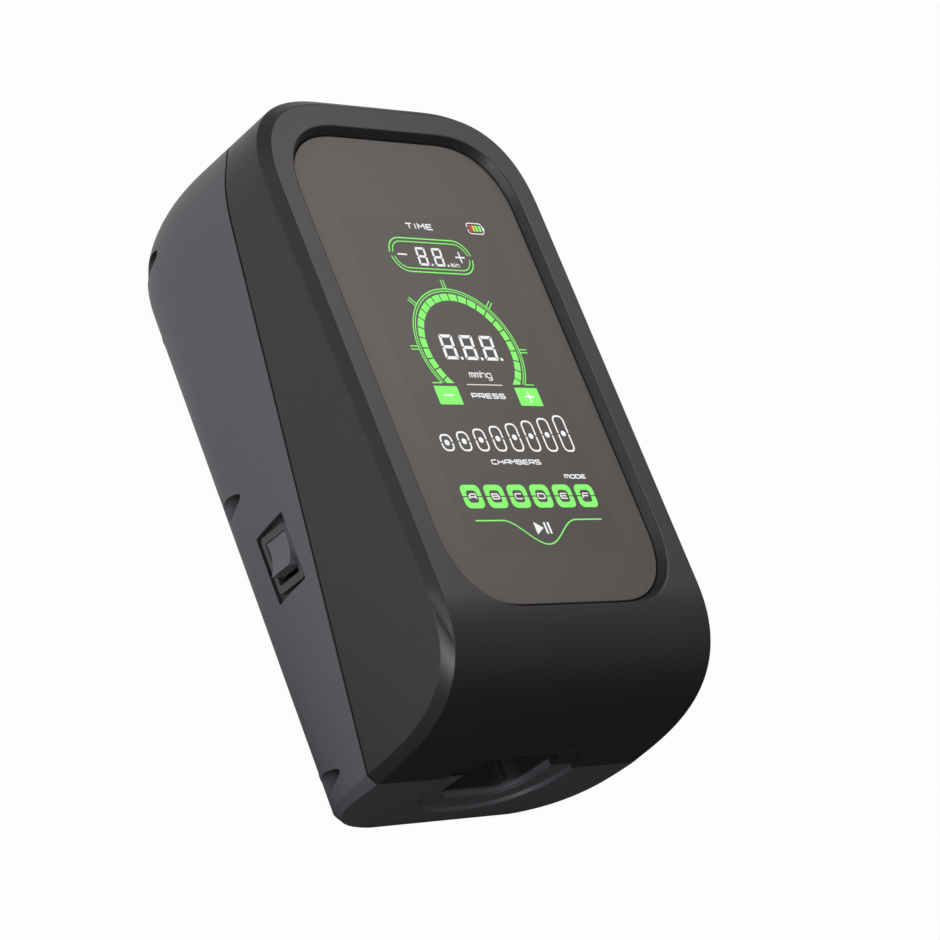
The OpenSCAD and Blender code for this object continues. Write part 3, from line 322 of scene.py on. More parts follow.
def fillet(r, n=5):
    """A round edge as pairs (outwards, inwards), from the face (r, 0) to the wall (0, r)."""
    a = np.radians(np.linspace(0, 90, n + 1))
    return [(r - r * math.sin(t), r - r * math.cos(t)) for t in a]


# ---- the housing's form -------------------------------------------------------------------

CURVE_START = 86.5
CURVE_FRONT = 38.2
CURVE_END_Z = 36.7
CURVE_END = 13.7
CURVE_LEAN = 0.11
CURVE_TABLE = 400
CHAMFER_SHRINK = 0.586       # how much a 45 degree chamfer narrows for each millimetre sunk
CHAMFER_BLEND_Z = 18.0       # height at which the end's own chamfer begins to widen to the front's
TILT_FADE = (12.0, 36.0)     # depths between which the rings turn from the screen's tilt to level
LAST_RING = 86.0             # place of the last ring on the rear's quarter, in degrees


def edge_profile(width, radius, n=4):
    """A 45 degree chamfer with softened edges: depth below the face, inset of the side."""
    a = radius * math.tan(math.radians(22.5))
    turns = np.radians(np.linspace(0, 45, n + 1))
    first = [(radius * (1 - math.cos(t)), width + a - radius * math.sin(t)) for t in turns]
    return np.array(first + [(inset, depth) for depth, inset in reversed(first)])


def curve_table(s):
    """Points and inward normals of the curve below the screen, from the front to the end."""
    t = np.linspace(0, 1, CURVE_TABLE)[:, None]
    p0 = on_screen([[0, -CURVE_START, s.recess]], s)[0, 1:]
    p1 = p0 + CURVE_FRONT * np.array([-s.cos, s.sin])
    p3 = np.array([0, CURVE_END_Z])
    p2 = p3 + CURVE_END * np.array([CURVE_LEAN, 1]) / math.hypot(CURVE_LEAN, 1)
    point = (1 - t) ** 3 * p0 + 3 * (1 - t) ** 2 * t * p1 + 3 * (1 - t) * t**2 * p2 + t**3 * p3
    speed = 3 * (1 - t) ** 2 * (p1 - p0) + 6 * (1 - t) * t * (p2 - p1) + 3 * t**2 * (p3 - p2)
    speed = speed / np.linalg.norm(speed, axis=1)[:, None]
    return point, np.stack([-speed[:, 1], speed[:, 0]], axis=1)


def ring_depths(profile, total, fine):
    """Depths below the front face of the rings down to the end of the curve, closest at the front."""
    steps, gain = (26, 0.05) if fine else (10, 0.34)
    depths = set(np.round(profile[:, 0], 4))
    depths |= {round(gain * k * k, 4) for k in range(1, steps)}
    depths |= set(np.round(np.linspace(gain * (steps - 1) ** 2, total, 10)[1:], 4))
    return sorted(depths)


def housing_form(name, s, sink=0.0, fine=True):
    """The whole closed housing, sunk by a margin under its skin, as one loft of rings."""
    half, top, corner = s.half - sink, s.body_length - sink, s.corner - sink
    profile = edge_profile(s.chamfer - CHAMFER_SHRINK * sink, s.edge_softness if fine else 0.2)
    deepest = profile[-1, 0]
    face_z = s.glass_height + (s.recess - sink) / s.cos + s.gauge_y * s.tan
    curve, inward = curve_table(s)
    end_scale = s.end_chamfer / s.chamfer
    edge_scale = s.end_edge / s.chamfer
    side_n, corner_n, edge_n, rear_n = (30, 26, 8, 34) if fine else (8, 10, 3, 12)

    def side_inset(depth):
        """How far the chamfer brings the side in at a depth below the face."""
        return float(np.interp(depth, profile[:, 0], profile[:, 1]))

    def curve_places(z0, shear, steps):
        """Where the curve below the screen, sunk by each step, meets the height z0."""
        places = []
        for step in steps:
            path = curve + (sink + step) * inward
            level = path[:, 1] + path[:, 0] * s.tan * shear
            places.append(float(np.interp(-z0, -level, path[:, 0])))
        return np.array(places)

    def ring(z0, shear):
        """The outline at the height z0; shear is the share of the screen's tilt that it has."""
        depth = face_z - z0
        cut = side_inset(min(depth, deepest))
        u = max(0.0, 1 - (z0 - sink) / (s.rear_depth - sink))
        ix = half * draw_in(u, REAR_EXP) + cut
        iy = (s.top_round - sink) * draw_in(u, TOP_EXP) + cut
        rx, ry = max(corner - ix, 0.3), max(corner - iy, 0.3)
        cx, cy = half - ix - rx, top - iy - ry
        steps = np.minimum(profile[:, 0], depth)
        insets = np.array([side_inset(v) for v in steps])
        if z0 >= CURVE_END_Z:
            ys = curve_places(z0, shear, steps)
            xs = half - (ix - cut) - insets
        else:
            blend = min(1.0, max(0.0, (z0 - CHAMFER_BLEND_Z) / (CURVE_END_Z - CHAMFER_BLEND_Z)))
            scale = end_scale + (1 - end_scale) * blend
            back = edge_scale * side_inset(max(0.0, z0 - sink) / edge_scale)
            ys = sink + back + steps * scale
            xs = np.maximum(0, half - (ix - cut) - insets * scale)
        bottom = [(x, ys[0]) for x in np.linspace(0, xs[0], edge_n, endpoint=False)]
        chamfer = list(zip(xs, ys))
        side = [(half - ix, y) for y in np.linspace(ys[-1], cy, side_n, endpoint=False)[1:]]
        bend = [(cx + q[0], cy + q[1]) for q in quarter(rx, ry, CORNER_EXP, corner_n)]
        end = [(x, top - iy) for x in np.linspace(cx, 0, edge_n)[1:]]
        right = np.array(bottom + chamfer + side + bend + end)
        right[:, 0] = np.maximum(right[:, 0], 0)
        left = (right * [-1, 1])[::-1][1:-1]
        flat = np.concatenate([right, left])
        return np.column_stack([flat, z0 - flat[:, 1] * s.tan * shear])

    rings = []
    for depth in ring_depths(profile, face_z - CURVE_END_Z, fine):
        share = min(1.0, max(0.0, (depth - TILT_FADE[0]) / (TILT_FADE[1] - TILT_FADE[0])))
        rings.append(ring(face_z - depth, 1 - share * share * (3 - 2 * share)))
    first_u = 1 - (CURVE_END_Z - sink) / (s.rear_depth - sink)
    first_a = math.asin(first_u ** (REAR_EXP / 2))
    for a in np.linspace(first_a, math.radians(LAST_RING), rear_n)[1:]:
        u = math.sin(a) ** (2 / REAR_EXP)
        rings.append(ring(sink + (s.rear_depth - sink) * (1 - u), 0.0))
    return loft(name, rings, s)


PARTING_SLOPE = 0.1507
PARTING_BEND_Y = 198.0
PARTING_BEND = 30.0


def parting_z(y):
    """Height of the parting line at the place y."""
    return CURVE_END_Z + PARTING_SLOPE * y - max(0.0, y - PARTING_BEND_Y) ** 2 / PARTING_BEND


def parting_block(name, s, shift, behind):
    """Everything behind or before the parting line, moved by a shift."""
    ys = [-20.0, PARTING_BEND_Y] + list(np.linspace(PARTING_BEND_Y, s.body_length + 4, 16)[1:])
    far_z = -20.0 if behind else 120.0
    line = [(y, parting_z(y) + shift) for y in ys] + [(ys[-1], far_z), (ys[0], far_z)]
    wide = s.half + 10
    return loft(name, [[(x, y, z) for y, z in line] for x in (-wide, wide)], s)


# ---- cutters and inner shapes ----------------------------------------------------------------

PORT_W, PORT_H, PORT_Z, PORT_D = 57.6, 46.6, 32.2, 2.0
MOUTH_W, MOUTH_H, MOUTH_R, MOUTH_Z = 37.0, 29.8, 9.6, 32.0
PORT_WALL = PORT_D + 1.6
SOCKET_SKIN = 1.8
FLANGE_W, FLANGE_H, FLANGE_T = MOUTH_W + 15, MOUTH_H + 15, 2.2
SEAL_T = 0.8
SLOT_BACK = PORT_WALL + SEAL_T + FLANGE_T + 0.2
SOCKET_DEPTH = 20.0
SWITCH_Y, SWITCH_Z = 78.4, 34.0
SWITCH_RECESS_L, SWITCH_RECESS_H, SWITCH_RECESS_D = 23.4, 15.6, 2.4
SWITCH_RECESS_LEAN, SWITCH_RECESS_DROP = 1.8, 0.5
SWITCH_FRAME_L, SWITCH_FRAME_H, SWITCH_FRAME_T = 19.6, 13.4, 1.6
INLET_Y, INLET_Z, INLET_RECESS = 79.2, 34.0, 1.2
SCREW_PLACES = [(side * x, y) for side in (-1, 1) for x, y in ((56, 10), (56, 104.6), (54.5, 192))]
SCREW_HOLE_R, SCREW_SEAT_Z = 3.2, 28.0
FOOT_PLACES = [(side * 36.0, y) for side in (-1, 1) for y in (19.0, 176.0)]
FOOT_R, FOOT_SEAT = 6.0, 4.4
PANEL_W, PANEL_L, PANEL_Y = 71.8, 130.0, -13.4
LEDGE_Z, PANEL_BACK = -2.3, -4.3
OUTSIDE = 3.0                # how far the side cutters start outside the skin
BELOW = -5.0                 # height at which the cutters from the back start
BOSS_R = 5.0                 # of the bosses round the screws
PAD_MARGIN, PAD_FLOOR = 4.0, 2.2     # what stays solid beside and behind the recesses


def along_x(outline, x, y0, z0):
    """An outline in (y, z) at the place x."""
    return [(x, p[0] + y0, p[1] + z0) for p in outline]


def along_y(outline, y, z0, x0=0.0):
    """An outline in (x, z) at the place y."""
    return [(p[0] + x0, y, p[1] + z0) for p in outline]


def along_z(outline, z, x0=0.0, y0=0.0):
    """An outline in (x, y) at the height z."""
    return [(p[0] + x0, p[1] + y0, z) for p in outline]


def screen_loop(outline, z, s):
    """An outline in the screen's frame at the height z over the glass."""
    return on_screen(along_z(outline, z), s)


def slab_y(name, w, h, r, y0, y1, s):
    """A block with round corners along y, about the middle of the mouth."""
    return loft(name, [along_y(round_rect(w, h, r), y, MOUTH_Z) for y in (y0, y1)], s)


def box(name, x, y, z, s):
    """A block between a pair of places on each axis."""
    return loft(name, [along_z(rect(*x, *y), h) for h in z], s)


def rod_z(name, x, y, r, z0, z1, s, n=48):
    """A round bar along z."""
    return loft(name, [along_z(circle(r, n), z, x, y) for z in (z0, z1)], s)


def lathe_x(name, profile, y0, z0, s, n=64):
    """A turned solid about an axis along x; the profile is pairs (x, radius)."""
    return loft(name, [along_x(circle(r, n), x, y0, z0) for x, r in profile], s)


def lathe_y(name, profile, x0, z0, s, n=40):
    """A turned solid about an axis along y; the profile is pairs (y, radius)."""
    return loft(name, [along_y(circle(r, n), y, z0, x0) for y, r in profile], s)


def lathe_z(name, profile, x0, y0, s, n=64):
    """A turned solid about an axis along z; the profile is pairs (z, radius)."""
    return loft(name, [along_z(circle(r, n), z, x0, y0) for z, r in profile], s)


def port_cutter(s):
    """The shallow oval recess with its coved wall and soft rim."""
    rim, cove = 0.45, 0.7
    profile = [(0.0, -OUTSIDE)] + [(out - rim, inn) for out, inn in fillet(rim)]
    profile += [(-rim - inn, PORT_D - out) for out, inn in reversed(fillet(cove))]
    loops = [along_y(oval(PORT_W / 2 + out, PORT_H / 2 + out, PORT_EXP), y, PORT_Z)
             for out, y in profile]
    return loft("port_cutter", loops, s)


def mouth_cutter(s):
    """The mouth in the recess's floor, with a soft rim."""
    rim = 0.5
    profile = [(0.0, -OUTSIDE)] + [(out - rim, PORT_D + inn) for out, inn in fillet(rim)]
    profile.append((-rim, PORT_WALL + 1))
    loops = [along_y(round_rect(MOUTH_W + 2 * out, MOUTH_H + 2 * out, MOUTH_R + out), y, MOUTH_Z)
             for out, y in profile]
    return loft("mouth_cutter", loops, s)


def screen_cutter(s):
    """The flared recess over the glass and the pocket that the glass sits in."""
    rim, rim_depth, rim_turn, rim_steps = 0.7, 0.49, 60.0, 5
    along_gain, across_gain = 0.35, 1.5
    slope = s.flare / s.recess
    wall_top = s.recess - rim_depth
    wall_out = s.glass_gap + slope * wall_top
    profile = [(LEDGE_Z, s.glass_gap), (-0.2, s.glass_gap), (0.15, s.glass_gap + 0.12),
               (wall_top, wall_out)]
    for i in range(1, rim_steps + 1):
        share = i / rim_steps
        angle = math.radians(rim_turn * share)
        out = wall_out + rim * (math.sin(angle) * along_gain + (1 - math.cos(angle)) * across_gain)
        profile.append((wall_top + rim_depth * math.sin(math.radians(90 * share)), out))
    profile.append((s.recess + 2.0, profile[-1][1] + 0.6))
    loops = [screen_loop(glass_outline(s, grow), z, s) for z, grow in profile]
    return loft("screen_cutter", loops, s)


def screen_block(name, s, grow, z0, z1):
    """A block with the glass's outline, grown by a margin."""
    return loft(name, [screen_loop(glass_outline(s, grow), z, s) for z in (z0, z1)], s)


def window_block(s):
    """The window through the front shell for the display panel."""
    margin, z0, z1 = 1.5, -24.0, 6.0
    outline = round_rect(PANEL_W + 2 * margin, PANEL_L + 2 * margin, 2) + [0, PANEL_Y]
    return loft("window", [screen_loop(outline, z, s) for z in (z0, z1)], s)


def cavity(s, front):
    """The hollow of a shell: the sunk form less what stands in it."""
    hollow = housing_form("hollow", s, s.wall, fine=False)
    x, z = PORT_W / 2 + PAD_MARGIN, PORT_H / 2 + PAD_MARGIN
    carve(hollow, box("pad", (-x, x), (0, SLOT_BACK + 2), (PORT_Z - z, PORT_Z + z), s))
    for x, y in SCREW_PLACES:
        start = parting_z(y) - 2 if front else BELOW
        end = parting_z(y) + 13 if front else 100
        carve(hollow, rod_z("boss", x, y, BOSS_R, start, end, s, 32))
    if front:
        carve(hollow, screen_block("frame", s, s.glass_gap + PAD_FLOOR, PANEL_BACK, 20))
        return hollow
    wall_x = -(s.half - SWITCH_RECESS_D - PAD_FLOOR)
    y, z = SWITCH_RECESS_L / 2 + PAD_MARGIN, SWITCH_RECESS_H / 2 + 3
    middle = SWITCH_Z - SWITCH_RECESS_DROP
    carve(hollow, box("pad", (-s.half, wall_x), (SWITCH_Y - y, SWITCH_Y + y), (middle - z, middle + z), s))
    carve(hollow, lathe_x("pad", [(s.half - s.wall - 1, 8.6), (s.half + 6, 8.6)], INLET_Y, INLET_Z, s))
    for x, y in FOOT_PLACES:
        carve(hollow, rod_z("boss", x, y, FOOT_R + 2, BELOW, FOOT_SEAT + 1.6, s))
    return hollow


def cut_port(piece, s):
    """The port's recess, its mouth and the pockets of the socket and its flange."""
    carve(piece, port_cutter(s))
    carve(piece, mouth_cutter(s))
    carve(piece, slab_y("pocket", FLANGE_W + 0.6, FLANGE_H + 0.6, 10.3, PORT_WALL, SLOT_BACK, s))
    carve(piece, slab_y("pocket", MOUTH_W + 2.6, MOUTH_H + 2.6, 8.8, PORT_WALL, SLOT_BACK + 10, s))


# ---- shader node helpers ---------------------------------------------------------------------


def new_group(name, inputs, outputs):
    """An empty shader node group with float inputs (name, default) and float outputs."""
    group = bpy.data.node_groups.new(name, "ShaderNodeTree")
    for label, default in inputs:
        socket = group.interface.new_socket(label, in_out="INPUT", socket_type="NodeSocketFloat")
        socket.default_value = default
    for label in outputs:
        group.interface.new_socket(label, in_out="OUTPUT", socket_type="NodeSocketFloat")
    return group


def add(tree, kind, **values):
    """A node with some of its own settings and input values set."""
    node = tree.nodes.new(kind)
    for key, value in values.items():
        if key.startswith("in_"):
            node.inputs[key[3:].replace("_", " ")].default_value = value
        else:
            setattr(node, key, value)
    return node


def calc(tree, operation, *values):
    """A Math node; each value is a number or another node's output."""
    node = add(tree, "ShaderNodeMath", operation=operation)
    for socket, value in zip(node.inputs, values):
        if isinstance(value, bpy.types.NodeSocket):
            tree.links.new(value, socket)
        else:
            socket.default_value = value
    return node.outputs[0]


def grain_group():
    """Moulded grain: fine height for the bump and a slow mask for sheen changes."""
    name = "Moulded grain"
    if name in bpy.data.node_groups:
        return bpy.data.node_groups[name]
    group = new_group(name, [("Grain scale", 2600.0), ("Patch scale", 35.0), ("Patch depth", 0.25)],
                      ["Height", "Patches"])
    start, end = group.nodes.new("NodeGroupInput"), group.nodes.new("NodeGroupOutput")
    where = add(group, "ShaderNodeTexCoord")
    fine = add(group, "ShaderNodeTexNoise", in_Detail=2.0, in_Roughness=0.6)
    cells = add(group, "ShaderNodeTexVoronoi", in_Randomness=1.0)
    slow = add(group, "ShaderNodeTexNoise", in_Detail=4.0, in_Roughness=0.55)
    for node in (fine, cells, slow):
        group.links.new(where.outputs["Object"], node.inputs["Vector"])
    group.links.new(start.outputs["Grain scale"], fine.inputs["Scale"])
    group.links.new(start.outputs["Grain scale"], cells.inputs["Scale"])
    group.links.new(start.outputs["Patch scale"], slow.inputs["Scale"])
    height = calc(group, "MULTIPLY_ADD", fine.outputs["Fac"], 0.6, cells.outputs["Distance"])
    centred = calc(group, "SUBTRACT", slow.outputs["Fac"], 0.5)
    patches = calc(group, "MULTIPLY_ADD", centred, start.outputs["Patch depth"], 0.5)
    group.links.new(height, end.inputs["Height"])
    group.links.new(patches, end.inputs["Patches"])
    return group


def brushed_group():
    """Fine lines along one way, for drawn and milled metal."""
    name = "Brushed lines"
    if name in bpy.data.node_groups:
        return bpy.data.node_groups[name]
    group = new_group(name, [("Line scale", 900.0), ("Stretch", 0.04)], ["Height", "Lines"])
    start, end = group.nodes.new("NodeGroupInput"), group.nodes.new("NodeGroupOutput")
    where = add(group, "ShaderNodeTexCoord")
    split = add(group, "ShaderNodeSeparateXYZ")
    join = add(group, "ShaderNodeCombineXYZ")
    noise = add(group, "ShaderNodeTexNoise", in_Detail=3.0)
    group.links.new(where.outputs["Object"], split.inputs[0])
    squeeze = calc(group, "MULTIPLY", split.outputs["X"], start.outputs["Stretch"])
    group.links.new(squeeze, join.inputs["X"])
    group.links.new(split.outputs["Y"], join.inputs["Y"])
    group.links.new(split.outputs["Z"], join.inputs["Z"])
    group.links.new(join.outputs[0], noise.inputs["Vector"])
    group.links.new(start.outputs["Line scale"], noise.inputs["Scale"])
    group.links.new(noise.outputs["Fac"], end.inputs["Height"])
    group.links.new(noise.outputs["Fac"], end.inputs["Lines"])
    return group


def crevice_shade_group():
    """Mask for painted shade: 1 on open faces, falling to 0 deep in holes, grooves and corners, from
    ambient occlusion.
    """
    name = "Crevices"
    if name in bpy.data.node_groups:
        return bpy.data.node_groups[name]
    group = new_group(name, [("Reach", 0.009), ("Closed", 0.42), ("Open", 0.85)], ["Mask"])
    start, end = group.nodes.new("NodeGroupInput"), group.nodes.new("NodeGroupOutput")
    shade = add(group, "ShaderNodeAmbientOcclusion", samples=6, only_local=False)
    level = add(group, "ShaderNodeMapRange")
    group.links.new(start.outputs["Reach"], shade.inputs["Distance"])
    group.links.new(shade.outputs["AO"], level.inputs["Value"])
    group.links.new(start.outputs["Closed"], level.inputs["From Min"])
    group.links.new(start.outputs["Open"], level.inputs["From Max"])
    group.links.new(level.outputs["Result"], end.inputs["Mask"])
    return group


def base_material(name):
    """A new material and its shader."""
    material = bpy.data.materials.new(name)
    material.use_nodes = True
    tree = material.node_tree
    return material, tree, tree.nodes["Principled BSDF"]


def spread(tree, source, low, high):
    """Maps a 0 to 1 mask on a range."""
    node = add(tree, "ShaderNodeMapRange")
    node.inputs["To Min"].default_value = low
    node.inputs["To Max"].default_value = high
    tree.links.new(source, node.inputs["Value"])
    return node.outputs["Result"]


def shade_between(tree, source, dark, light):
    """Mixes two colours by a mask."""
    node = add(tree, "ShaderNodeMix", data_type="RGBA")
    node.inputs["A"].default_value = (*dark, 1)
    node.inputs["B"].default_value = (*light, 1)
    tree.links.new(source, node.inputs["Factor"])
    return node.outputs["Result"]


def add_bump(tree, shader, height, strength, depth):
    """Bumps a surface by a height mask; the depth is in millimetres."""
    bump = add(tree, "ShaderNodeBump", in_Strength=strength, in_Distance=depth * MM)
    tree.links.new(height, bump.inputs["Height"])
    tree.links.new(bump.outputs["Normal"], shader.inputs["Normal"])


def set_socket(shader, label, value):
    """Sets one input of a shader."""
    shader.inputs[label].default_value = value


HOLLOW_ROUGHNESS = 0.9


def moulded(name, colour_value, roughness=(0.38, 0.48), grain=2600.0, depth=0.02, vary=0.06,
            specular=0.5, painted_shade=0.0):
    """Moulded plastic, rubber or board: grain in the bump, patches in colour and gloss.

    The painted-shade share is how far the colour is darkened as painted shade in its holes, grooves and
    corners, which are made duller too.
    """
    material, tree, shader = base_material(name)
    effect = add(tree, "ShaderNodeGroup", node_tree=grain_group())
    effect.inputs["Grain scale"].default_value = grain
    dark = [c * (1 - vary) for c in colour_value]
    light = [min(1, c * (1 + vary)) for c in colour_value]
    patches = effect.outputs["Patches"]
    tone = shade_between(tree, patches, dark, light)
    gloss = spread(tree, patches, *roughness)
    # Painted shade: the base colour is darkened in holes, grooves and corners by ambient occlusion, and the
    # roughness is raised there.
    if painted_shade:
        mask = add(tree, "ShaderNodeGroup", node_tree=crevice_shade_group()).outputs["Mask"]
        shaded_tone = add(tree, "ShaderNodeMix", data_type="RGBA")
        shaded_tone.inputs["A"].default_value = (*[c * (1 - painted_shade) for c in colour_value], 1)
        tree.links.new(tone, shaded_tone.inputs["B"])
        tree.links.new(mask, shaded_tone.inputs["Factor"])
        tone = shaded_tone.outputs["Result"]
        dull = add(tree, "ShaderNodeMix", data_type="FLOAT")
        dull.inputs["A"].default_value = HOLLOW_ROUGHNESS
        tree.links.new(gloss, dull.inputs["B"])
        tree.links.new(mask, dull.inputs["Factor"])
        gloss = dull.outputs["Result"]
    tree.links.new(tone, shader.inputs["Base Color"])
    tree.links.new(gloss, shader.inputs["Roughness"])
    add_bump(tree, shader, effect.outputs["Height"], 0.5, depth)
    set_socket(shader, "Specular IOR Level", specular)
    return material


def metal(name, colour_value, roughness=(0.28, 0.42), lines=900.0, depth=0.01):
    """Drawn or milled metal with fine lines."""
    material, tree, shader = base_material(name)
    effect = add(tree, "ShaderNodeGroup", node_tree=brushed_group())
    effect.inputs["Line scale"].default_value = lines
    lines_mask = effect.outputs["Lines"]
    dark = [c * 0.85 for c in colour_value]
    tree.links.new(shade_between(tree, lines_mask, dark, colour_value), shader.inputs["Base Color"])
    tree.links.new(spread(tree, lines_mask, *roughness), shader.inputs["Roughness"])
    add_bump(tree, shader, effect.outputs["Height"], 0.4, depth)
    set_socket(shader, "Metallic", 1.0)
    return material


def lit_sign(name, colour_value):
    """A lit sign of the display, with a faint unevenness of the panel."""
    material, tree, shader = base_material(name)
    effect = add(tree, "ShaderNodeGroup", node_tree=grain_group())
    effect.inputs["Patch scale"].default_value = 60.0
    dim = [c * 0.94 for c in colour_value]
    mixed = shade_between(tree, effect.outputs["Patches"], dim, colour_value)
    tree.links.new(mixed, shader.inputs["Emission Color"])
    set_socket(shader, "Emission Strength", 1.0)
    set_socket(shader, "Base Color", (0.01, 0.01, 0.01, 1))
    set_socket(shader, "Roughness", 0.5)
    set_socket(shader, "Specular IOR Level", 0.1)
    return material


# ---- pieces of the screen's signs ---------------------------------------------------------------

SIGN_LIFT = 0.02
SIGN_T = 0.03


def plates(name, outlines, s, lift=SIGN_LIFT, thickness=SIGN_T):
    """Thin plates on the glass from closed outlines in sign units, joined into one piece."""
    points, faces = [], []
    for outline in outlines:
        n = len(outline)
        base = len(points)
        flat = np.asarray(outline, float) * s.unit
        for z in (lift, lift + thickness):
            points.extend(screen_loop(flat, z, s))
        for i in range(n):
            after = (i + 1) % n
            faces.append((base + i, base + after, base + n + after, base + n + i))
        faces.append([base + i for i in reversed(range(n))])
        faces.append([base + n + i for i in range(n)])
    return make_mesh(name, points, faces, s)


def ribbon(path, width, closed=False):
    """Quads along a path, mitred at its corners."""
    p = np.asarray(path, float)
    n = len(p)
    out = []
    sides = []
    for i in range(n):
        before = p[i] - p[i - 1] if (i > 0 or closed) else p[1] - p[0]
        after = p[(i + 1) % n] - p[i] if (i < n - 1 or closed) else p[n - 1] - p[n - 2]
        before = before / (np.linalg.norm(before) + 1e-9)
        after = after / (np.linalg.norm(after) + 1e-9)
        normal = np.array([-(before + after)[1], (before + after)[0]])
        normal /= np.linalg.norm(normal) + 1e-9
        reach = width / 2 / max(0.35, float(normal @ np.array([-after[1], after[0]])))
        sides.append((p[i] + normal * reach, p[i] - normal * reach))
    for i in range(n if closed else n - 1):
        a, b = sides[i], sides[(i + 1) % n]
        out.append([a[1], b[1], b[0], a[0]])
    return out


def arc(cx, cy, r, a0, a1, n):
    """An open arc from the angle a0 to a1, in degrees."""
    a = np.radians(np.linspace(a0, a1, n + 1))
    return np.stack([cx + r * np.cos(a), cy + r * np.sin(a)], axis=1)


def capsule(x0, x1, y0, y1, n=8):
    """A closed upright outline with half-round ends."""
    r = (x1 - x0) / 2
    cx = (x0 + x1) / 2
    return np.concatenate([arc(cx, y1 - r, r, 0, 180, n), arc(cx, y0 + r, r, 180, 360, n)])


# Strokes of the letters on a grid one wide and one high.
STROKES = {
    "A": [[(0, 0), (0, 0.62), (0.3, 1), (1, 1), (1, 0)], [(0, 0.4), (1, 0.4)]],
    "B": [[(0, 0), (0, 1), (0.85, 1), (0.95, 0.85), (0.95, 0.62), (0.85, 0.52), (1, 0.4),
           (1, 0.12), (0.88, 0), (0, 0)], [(0, 0.52), (0.85, 0.52)]],
    "C": [[(1, 1), (0.15, 1), (0, 0.85), (0, 0.15), (0.15, 0), (1, 0)]],
    "D": [[(0, 0), (0, 1), (0.82, 1), (1, 0.8), (1, 0.2), (0.82, 0), (0, 0)]],
    "E": [[(1, 1), (0.15, 1), (0, 0.85), (0, 0.15), (0.15, 0), (1, 0)], [(0, 0.5), (0.9, 0.5)]],
    "F": [[(1, 1), (0.15, 1), (0, 0.85), (0, 0)], [(0, 0.5), (0.85, 0.5)]],
    "H": [[(0, 0), (0, 1)], [(1, 0), (1, 1)], [(0, 0.5), (1, 0.5)]],
    "I": [[(0.5, 0), (0.5, 1)]],
    "M": [[(0, 0), (0, 1), (0.5, 0.45), (1, 1), (1, 0)]],
    "O": [[(0.15, 0), (0, 0.15), (0, 0.85), (0.15, 1), (0.85, 1), (1, 0.85), (1, 0.15), (0.85, 0),
           (0.15, 0)]],
    "P": [[(0, 0), (0, 1), (0.88, 1), (1, 0.88), (1, 0.5), (0.88, 0.38), (0, 0.38)]],
    "R": [[(0, 0), (0, 1), (0.88, 1), (1, 0.88), (1, 0.52), (0.88, 0.4), (0, 0.4)],
          [(0.55, 0.4), (1, 0)]],
    "S": [[(1, 1), (0.12, 1), (0, 0.88), (0, 0.6), (0.12, 0.5), (0.88, 0.5), (1, 0.4), (1, 0.12),
           (0.88, 0), (0, 0)]],
    "T": [[(0, 1), (1, 1)], [(0.5, 1), (0.5, 0)]],
    "g": [[(1, 0.1), (0.85, 0), (0.15, 0), (0, 0.15), (0, 0.55), (0.15, 0.7), (1, 0.7), (1, -0.2),
           (0.85, -0.34), (0.1, -0.34)]],
    "h": [[(0, 0), (0, 1)], [(0, 0.7), (0.82, 0.7), (1, 0.55), (1, 0)]],
    "i": [[(0.5, 0), (0.5, 0.7)], [(0.5, 0.88), (0.5, 1.0)]],
    "m": [[(0, 0), (0, 0.7), (0.9, 0.7), (1, 0.6), (1, 0)], [(0.5, 0), (0.5, 0.7)]],
    "n": [[(0, 0), (0, 0.7), (0.82, 0.7), (1, 0.55), (1, 0)]],
}


def word(text, x0, x1, y0, height, weight, gap=0.3):
    """Outlines of a word that fills x0 to x1, with a gap in letter widths."""
    widths = [0.35 if c in "iI" else 1.0 for c in text]
    total = sum(widths) + gap * (len(text) - 1)
    step = (x1 - x0) / total
    out, x = [], x0
    for c, share in zip(text, widths):
        w = step * share
        for stroke in STROKES[c]:
            path = [(x + w * (px if share == 1.0 else 0.5), y0 + height * py) for px, py in stroke]
            out.extend(ribbon(path, weight))
        x += w + step * gap
    return out


def digit_eight(x0, x1, y0, y1, weight, lean=0.07):
    """A seven segment figure: the seven mitred bars of an 8, with small gaps and a slight lean."""
    mid, gap, w = (y0 + y1) / 2, weight * 0.14, weight
    out = [[(x0 + gap + w / 2, mid), (x0 + gap + w, mid + w / 2), (x1 - gap - w, mid + w / 2),
            (x1 - gap - w / 2, mid), (x1 - gap - w, mid - w / 2), (x0 + gap + w, mid - w / 2)]]
    for y, inward in ((y0, w), (y1, -w)):
        out.append([(x0 + 2 * gap, y), (x1 - 2 * gap, y), (x1 - 2 * gap - w, y + inward),
                    (x0 + 2 * gap + w, y + inward)])
        near = mid + (y - mid) * gap / abs(y - mid)
        inner = mid + (y - mid) * (gap + w / 2) / abs(y - mid)
        far, corner = y + inward * 2 * gap / w, y + inward * (1 + gap / w)
        for x, sideways in ((x0, w), (x1, -w)):
            out.append([(x, far), (x + sideways, corner), (x + sideways, inner), (x + sideways / 2, near),
                        (x, near + (inner - near) * 0.6)])
    return [[(px + lean * (py - y0), py) for px, py in bar] for bar in out]


def dot(x, y, r, n=12):
    """A closed circle of n points about a place."""
    return arc(x, y, r, 0, 360 * (n - 1) / n, n - 1)


# ---- operators ------------------------------------------------------------------------------------


